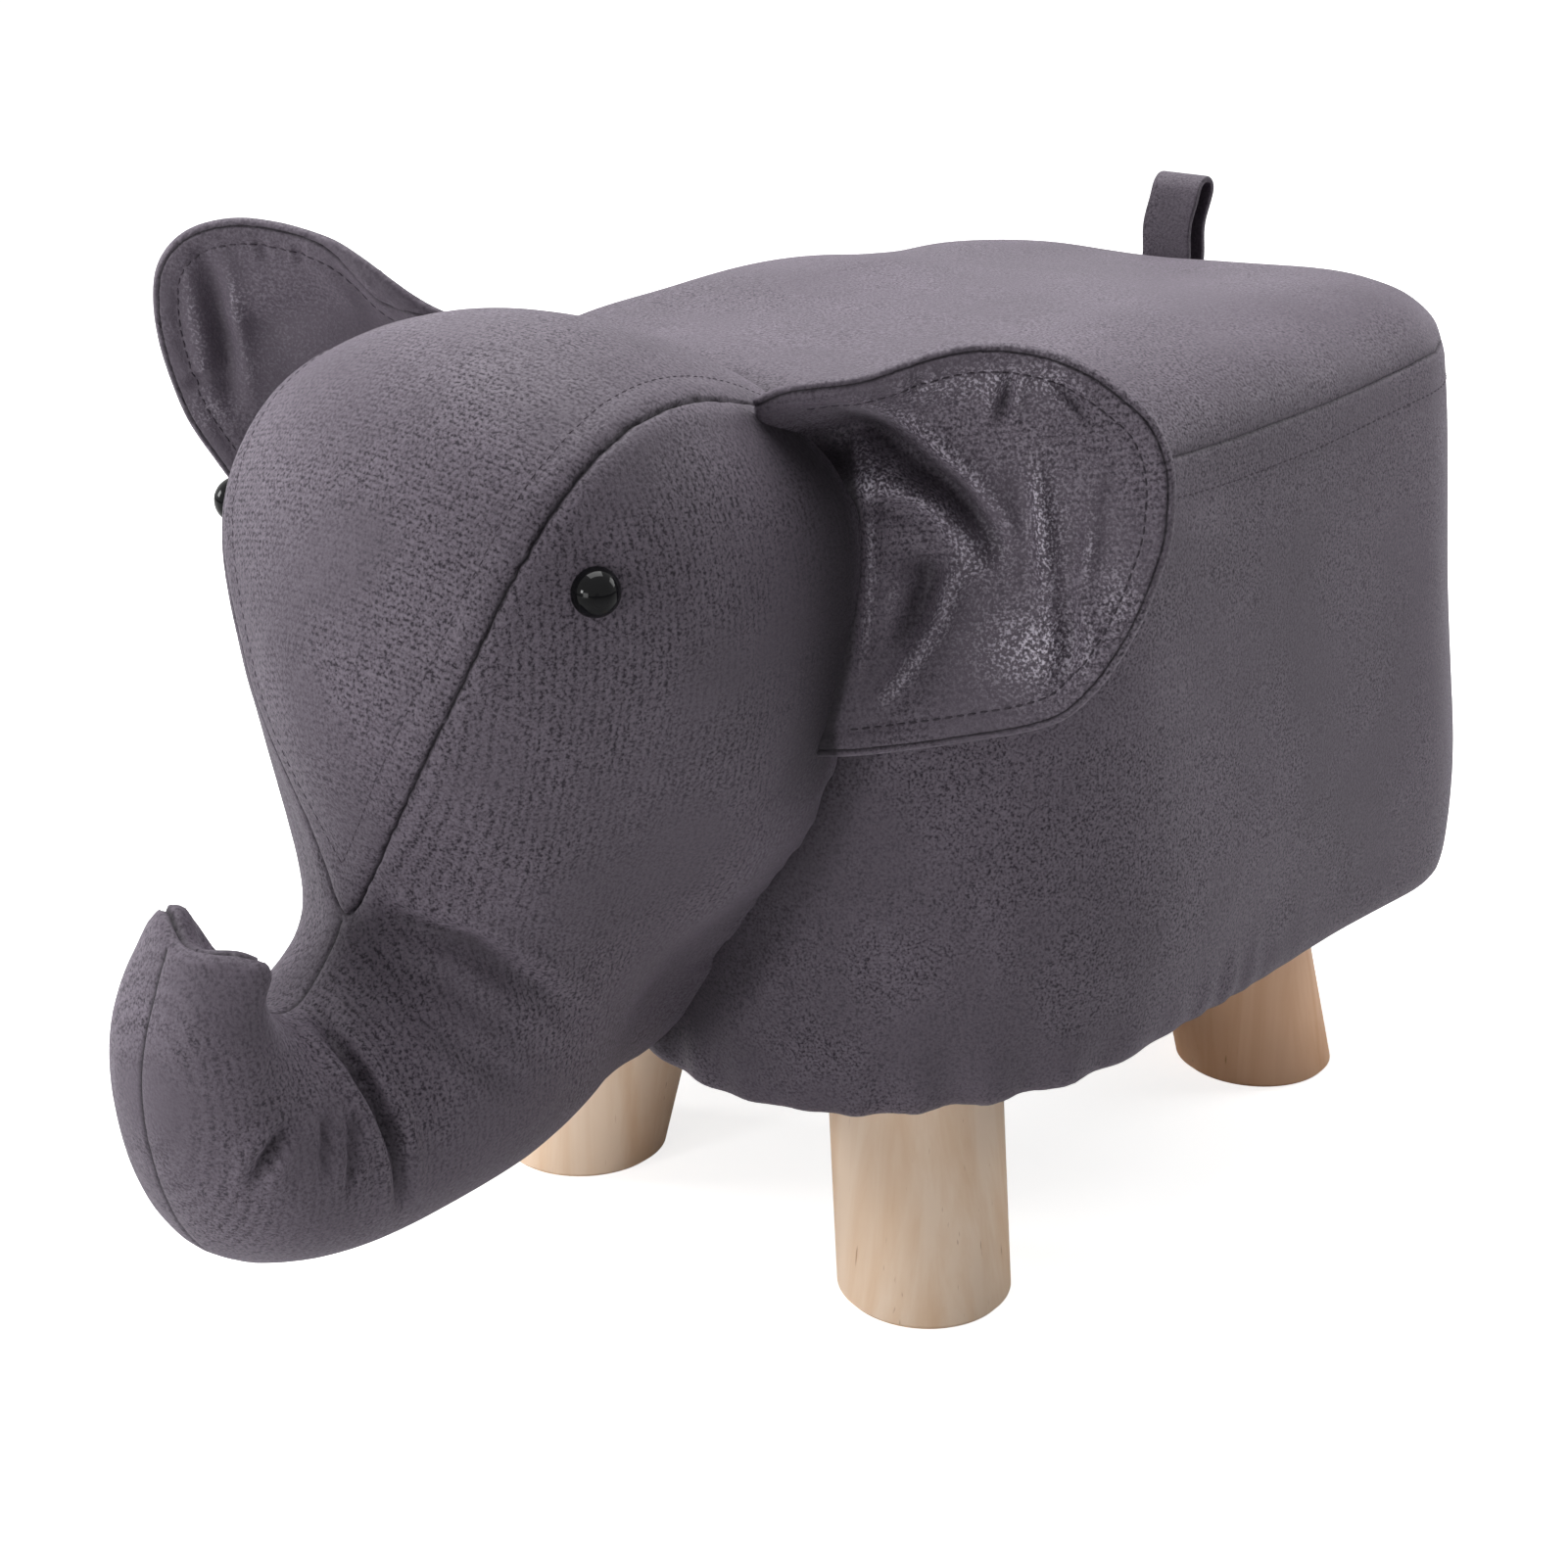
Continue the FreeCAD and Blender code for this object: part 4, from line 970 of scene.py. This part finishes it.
# outlines and folds are flat, in millimetres out from the hinge and up from its low end
leftEar = {
    "rim": [(-16, 3), (-8, 2.2), (0, 2), (14, 2.5), (28.4, 3.5), (40, 4.6), (49.6, 6.9), (57, 12), (64, 19.4),
            (71, 29.5), (76.6, 40.5), (80, 49), (81.6, 57), (82.3, 64), (81.6, 71.2), (78.5, 79.5), (72.5, 86.3),
            (65.5, 92.5), (57.2, 97.3), (48, 100.4), (38.8, 101.8), (30, 101.6), (22, 100.3), (14, 98.6), (7.4, 97.9),
            (0, 98), (-8, 97.5), (-16, 95)],
    "hood": (12, 0, 30, 17), "pocket": (-13, 3, 82, 15, 9), "seamDip": (0, 20, 10), "wear": -0.15,
    # painted highlight patches: place, size and level
    "paintedGleams": [((44, 25), (11, 9), 0.9), ((42, 60), (34, 40), 0.15), ((42, 92), (12, 4), 0.6),
               ((26, 92), (6, 4), 0.4), ((56, 90), (5, 5), 0.4), ((9, 71), (6, 4), 0.6),
               ((50, 56), (4, 14), 0.6), ((66, 36), (5, 8), 0.4), ((35, 50), (5, 6), 0.4)],
    "folds": [
        ([(0, 91), (5.5, 86), (18.2, 76.1), (28.2, 64.7), (35, 53.4), (39, 46)], 3.4, 5.0),
        ([(2, 72), (10.2, 69.6), (23.3, 64.3), (31.9, 53.7), (33, 44)], 3.0, -3.0),
        ([(48.5, 73), (49.1, 57.8), (48.4, 34)], 2.6, -2.6),
        ([(62.4, 68), (61.1, 53.4), (59.6, 46.3), (55.5, 31)], 2.2, -1.5),
        ([(31, 48), (25.1, 43.7), (19.8, 32.5), (12, 21.4), (0.5, 11.5)], 3.2, -3.0),
        ([(53, 41), (53.3, 26.2), (49, 12)], 2.6, 2.4),
        ([(26.5, 99), (21.0, 89.5)], 1.5, 2.0), ([(46.5, 95), (40.5, 80)], 1.6, 3.2),
        ([(55, 93), (64.5, 79)], 1.5, 2.0), ([(70, 70), (66, 60)], 1.8, 0.9),
        ([(12, 57), (20, 45), (17, 36), (10, 27)], 4.0, 3.0),
        ([(-3, 10), (2, 26.7), (6.3, 47.2), (8.1, 61.9), (7.4, 73.4), (6, 90)], 1.8, -1.6),
    ],
}
rightEar = {
    "rim": [(-16, 3), (-8, 2.2), (0, 2), (18, 6), (34, 13), (47, 22), (58, 31), (68, 42), (76, 52), (81, 62), (85, 73),
            (87, 84), (86.5, 94), (82.5, 102), (75.5, 108), (65, 112), (54, 113.2), (43, 113), (34, 112),
            (26, 109.6), (18, 106), (8, 101), (0, 98.5), (-8, 97), (-16, 95)],
    "hood": (11, 12, 28, 22), "pocket": (-4, 18, 84, 16, 14), "seamDip": (6.5, 22, 11), "wear": -0.7,
    # a wide painted highlight patch brightens this ear
    "paintedGleams": [((58, 84), (26, 26), 0.1), ((70, 56), (5, 4), 0.4)],
    "folds": [
        ([(74.5, 106), (71.7, 94.5), (69.7, 84.4), (67.3, 74.3), (65.6, 66.1), (63, 55)], 3.0, 2.8),
        ([(79, 61.5), (71.9, 65.7), (66, 67.5)], 1.8, 1.3),
        ([(66, 74), (53.7, 83.8), (38, 92)], 5.0, 1.2),
        ([(37, 107), (29.6, 99.1), (24, 90)], 3.2, 1.6),
        ([(54, 60), (44, 44), (30, 30)], 4.0, -1.6),
        ([(58, 110), (55, 101)], 1.6, 1.0), ([(46, 110), (45, 101)], 1.6, 1.0),
    ],
}


def throughPoints(points, pitch):
    # a smooth line through the points, in even steps
    p = np.asarray(points, float)
    ends = np.vstack((2 * p[0] - p[1], p, 2 * p[-1] - p[-2]))
    t = np.linspace(0, 1, 24, endpoint=False)[:, None]
    bends = []
    for a, b, c, d in zip(ends, ends[1:], ends[2:], ends[3:]):
        bends.append(b + 0.5 * t * (c - a + t * (2 * a - 5 * b + 4 * c - d + t * (3 * (b - c) + d - a))))
    line = np.vstack(bends + [p[-1:]])
    runs = runLengths(line)
    return atMarks(np.linspace(0, runs[-1], int(runs[-1] / pitch) + 1), runs, line)


def insideOutline(points, outline):
    inside = np.zeros(len(points), bool)
    for (x1, y1), (x2, y2) in zip(outline, np.roll(outline, -1, axis=0)):
        if y1 != y2:
            crossing = (points[:, 1] < y1) != (points[:, 1] < y2)
            inside ^= crossing & (points[:, 0] < x1 + (points[:, 1] - y1) * (x2 - x1) / (y2 - y1))
    return inside


def flatEar(rim, pitch):
    # the ear laid flat: even triangles within its outline
    root = throughPoints([rim[-1], (rim[-1] + rim[0]) / 2, rim[0]], pitch)
    outline = np.vstack((rim, root[1:-1]))
    rows = np.arange(rim[:, 1].min(), rim[:, 1].max(), pitch * 0.866)
    across = np.arange(rim[:, 0].min(), rim[:, 0].max(), pitch)
    grid = np.array([(x + pitch / 2 * (i % 2), y) for i, y in enumerate(rows) for x in across])
    closed = np.vstack((outline, outline[:1]))
    grid = grid[insideOutline(grid, outline)]
    grid = grid[alongLine(grid, closed)[0] > 0.65 * pitch]
    count = len(outline)
    spots = [Vector(p) for p in np.vstack((outline, grid))]
    flat, _, faces, *_ = geometry.delaunay_2d_cdt(spots, [(i, (i + 1) % count) for i in range(count)], [], 1, 1e-4)
    return np.array(flat), [tuple(f) for f in faces]


def earAxes(side):
    turn = 1 if side == "left" else -1
    low, top = np.array(earHinge) * (turn, 1, 1)
    up = (top - low) / np.linalg.norm(top - low)
    sweep = math.radians(earLook["sweep"] * turn)
    out = np.array((turn * math.cos(sweep), math.sin(sweep), 0))
    out -= up * (out @ up)
    out /= np.linalg.norm(out)
    face = np.cross(out, up) * turn  # the way that the ear's front looks
    return low, top, out, up, face


def earHeights(flat, away, own):
    # how far the front and the back stand off the hinge plane
    look = earLook
    o, h = flat.T
    rise, hoodOut, hoodWide, hoodDeep = own["hood"]
    hood = rise * np.exp(-((o - hoodOut) / hoodWide) ** 2) * (1 - ease(look["hoodFrom"], hoodDeep, away))
    sink, pocketOut, pocketUp, pocketWide, pocketTall = own["pocket"]
    pocket = sink * np.exp(-((o - pocketOut) / pocketWide) ** 2 - ((h - pocketUp) / pocketTall) ** 2)
    cup = look["cup"] * ease(*look["cupReach"], away) * (0.5 + 0.5 * ease(*look["cupOut"], o))
    middle = look["stand"] - cup + hood * ease(*look["hoodUp"], h) + pocket
    edge = np.sqrt(1 - (1 - np.clip(away / look["edge"], 0, 1)) ** 2)
    half = look["band"] * edge + look["fill"] * ease(*look["fillReach"], away)
    half -= look["dent"] * np.exp(-((away - look["stitchLine"]) / look["dentWide"]) ** 2)
    pucker = look["pucker"] * np.sin(o * 0.9 + 3 * np.sin(h * 0.11)) * np.sin(h * 0.8 + 2 * np.sin(o * 0.13))
    pucker *= np.exp(-((away - look["stitchLine"] - 1) / look["puckerWide"]) ** 2)
    folds = foldHeight(flat, own["folds"]) * ease(*look["foldFrom"], away)
    return middle + half + folds + pucker, middle - half + look["backFolds"] * folds - pucker, folds


def sewEar(side, own):
    # the front and the back, joined round the edge; also gives each corner's place in the flat ear
    low, _, out, up, face = earAxes(side)
    rim = throughPoints(own["rim"], earLook["cell"])
    flat, faces = flatEar(rim, earLook["cell"])
    uses = {}
    for f in faces:
        for pair in zip(f, f[1:] + f[:1]):
            key = tuple(sorted(pair))
            uses[key] = uses.get(key, 0) + 1
    edge = {i for key, times in uses.items() if times == 1 for i in key}
    inner = [i for i in range(len(flat)) if i not in edge]
    backOf = {i: i for i in edge}
    backOf.update((i, len(flat) + k) for k, i in enumerate(inner))
    away = alongLine(flat, rim)[0]
    front, back, folds = earHeights(flat, away, own)
    front[list(edge)] = ((front + back) / 2)[list(edge)]
    plane = low + flat[:, :1] * out + flat[:, 1:] * up
    points = np.vstack((plane + front[:, None] * face, (plane + back[:, None] * face)[inner]))
    mesh = bpy.data.meshes.new(side + "_ear_skin")
    backFaces = [tuple(backOf[i] for i in f[::-1]) for f in faces]
    mesh.from_pydata([tuple(p) for p in fromFeet(points)], [], faces + backFaces)
    skin = addObject(side + "_ear_skin", mesh)
    editAll(skin)
    bpy.ops.mesh.normals_make_consistent(inside=False)
    leaveEdit()
    isFront = np.arange(len(points)) < len(flat)
    away, folds = (np.concatenate((values, values[inner])) for values in (away, folds))
    return skin, np.vstack((flat, flat[inner])), away, folds, isFront


def markEar(mesh, own, spread, away, folds, isFront):
    # the seam's line, the ribs, the worn nap, painted highlights and painted shade
    look = earLook
    o, h = spread.T
    dip, dipOut, dipWide = own["seamDip"]
    inset = look["seamIn"] + dip * np.exp(-((o - dipOut) / dipWide) ** 2) * ease(*look["dipUp"], h)
    writeField(mesh, "rim", (inset + np.where(isFront, -away, away)) / 1000)
    writeField(mesh, "rib", h / 1000)
    markFolds(mesh, folds, isFront * 1.0, look)
    writeField(mesh, "wear", own["wear"] * isFront)
    # painted shade along the ear's root, fading out near the top
    rootOut, rootUp = np.transpose(look["root"])
    beyond = o - np.interp(h, rootUp, rootOut)
    dark = look["rootShade"] * (1 - ease(*look["rootEdge"], beyond)) * (1 - ease(*look["rootFade"], h)) * isFront
    writeField(mesh, "seam", np.maximum(readField(mesh, "seam"), dark))
    # painted highlight patches on the ear's front
    patches = sum(level * np.exp(-((spread - spot) ** 2 / np.square(size)).sum(1))
                  for spot, size, level in own["paintedGleams"])
    writeField(mesh, "paintedGleam", np.clip(readField(mesh, "paintedGleam") + isFront * patches, 0, 1))


def makeEar(side, own, threadLook):
    look = earLook
    low, top, out, _, _ = earAxes(side)
    skin, spread, away, folds, isFront = sewEar(side, own)
    markEar(skin.data, own, spread, away, folds, isFront)
    puffUp(skin, look, ease(*look["freeFromRim"], away) * ease(*look["freeFromRoot"], spread[:, 0]))
    pressSeam(skin, "rim", look)
    start = fromFeet(low)
    paths = []
    for level in (look["seamIn"] - look["stitchLine"], look["seamIn"] + look["stitchLine"]):
        paths += tracePaths(skin, "rim", level / 1000, keep=lambda spot: (spot - start) @ out > look["stitchesFrom"])
    stitches = sewStitches(side + "_ear_topstitch", paths, look, threadLook)
    finishSkin(skin, suede)
    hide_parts(*(f"{side}_ear_{name}" for name in ("front", "back", "wadding", "seam")))
    middle = Vector(fromFeet((low + top) / 2))
    for piece in (skin, stitches):
        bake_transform(piece, "stool", side + "_ear", start=middle - Vector(out) * 0.004, end=middle + Vector(out) * 0.008)
    print(side, "ear ready")


makeEar("left", leftEar, thread)
makeEar("right", rightEar, softThread)


# The tail: a folded strap, sewn into the rim seam as a loop

tailLook = {
    "width": 18.0, "thick": 2.2, "depth": 11.0, "hinge": (-15.0, 148.95, 254.85), "sunk": 9.0, "straight": 26.5,
    # the strap's shade is an even painted shade
    "lean": 0.14, "shade": 0.2, "rows": 8, "cuts": 7, "turns": 12, "weld": 0.00005, "bevel": 0.0005,
    "waver": 0.0006, "waverTurns": 300,
}


def extrudeRows(rows, rise):
    for _ in range(rows):
        bpy.ops.mesh.extrude_region_move(TRANSFORM_OT_translate={"value": (0, 0, rise / rows / 1000)})


def makeTail():
    look = tailLook
    half = (look["depth"] - look["thick"]) / 2
    foot = np.array(look["hinge"]) - (0, 0, look["sunk"])
    start = fromFeet(foot + (0, -half, 0))
    bpy.ops.mesh.primitive_plane_add(size=look["width"] / 1000, location=start)
    strap = bpy.context.active_object
    strap.name = strap.data.name = "tail_strap"
    selectOnly(strap)
    bpy.ops.object.transform_apply(location=True, rotation=True, scale=True)
    editAll(strap)
    bpy.ops.mesh.delete(type="ONLY_FACE")
    leaveEdit()
    # only the front edge stays, and it is drawn up, over and down again
    for vert in strap.data.vertices:
        vert.select = vert.co.y > start[1]
    for edge in strap.data.edges:
        edge.select = False
    bpy.ops.object.mode_set(mode="EDIT")
    bpy.ops.mesh.select_mode(type="VERT")
    bpy.ops.mesh.delete(type="VERT")
    bpy.ops.mesh.select_all(action="SELECT")
    bpy.ops.transform.translate(value=(0, look["width"] / 2000, 0))
    bpy.ops.mesh.subdivide(number_cuts=look["cuts"])
    bpy.ops.mesh.select_all(action="SELECT")
    extrudeRows(look["rows"], look["straight"])
    crown = fromFeet(foot + (0, 0, look["straight"]))
    bpy.ops.mesh.spin(steps=look["turns"], angle=math.pi, center=tuple(crown), axis=(1, 0, 0))
    extrudeRows(look["rows"], -look["straight"])
    bpy.ops.mesh.select_all(action="SELECT")
    bpy.ops.mesh.remove_doubles(threshold=look["weld"])
    bpy.ops.mesh.normals_make_consistent(inside=False)
    leaveEdit()
    points = readPoints(strap.data)
    rise = np.clip(points[:, 2] - start[2], 0, None)
    points[:, 1] += look["lean"] * rise ** 2 / (look["straight"] / 1000)
    points[:, 0] += look["waver"] * np.sin(rise * look["waverTurns"])
    writePoints(strap.data, points)
    applyModifier(strap, "SOLIDIFY", thickness=look["thick"] / 1000, offset=0)
    applyModifier(strap, "BEVEL", width=look["bevel"], segments=2, limit_method="ANGLE")
    applyModifier(strap, "SUBSURF", levels=1, render_levels=1)
    # an even painted shade over the whole strap
    writeField(strap.data, "seam", np.full(len(strap.data.vertices), look["shade"]))
    finishSkin(strap, suede)
    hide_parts("tail_loop")
    hinge = Vector(fromFeet(look["hinge"]))
    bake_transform(strap, "stool", "tail", start=hinge - Vector((0, 0, 0.004)), end=hinge + Vector((0, 0, 0.005)))


makeTail()
print("tail ready")
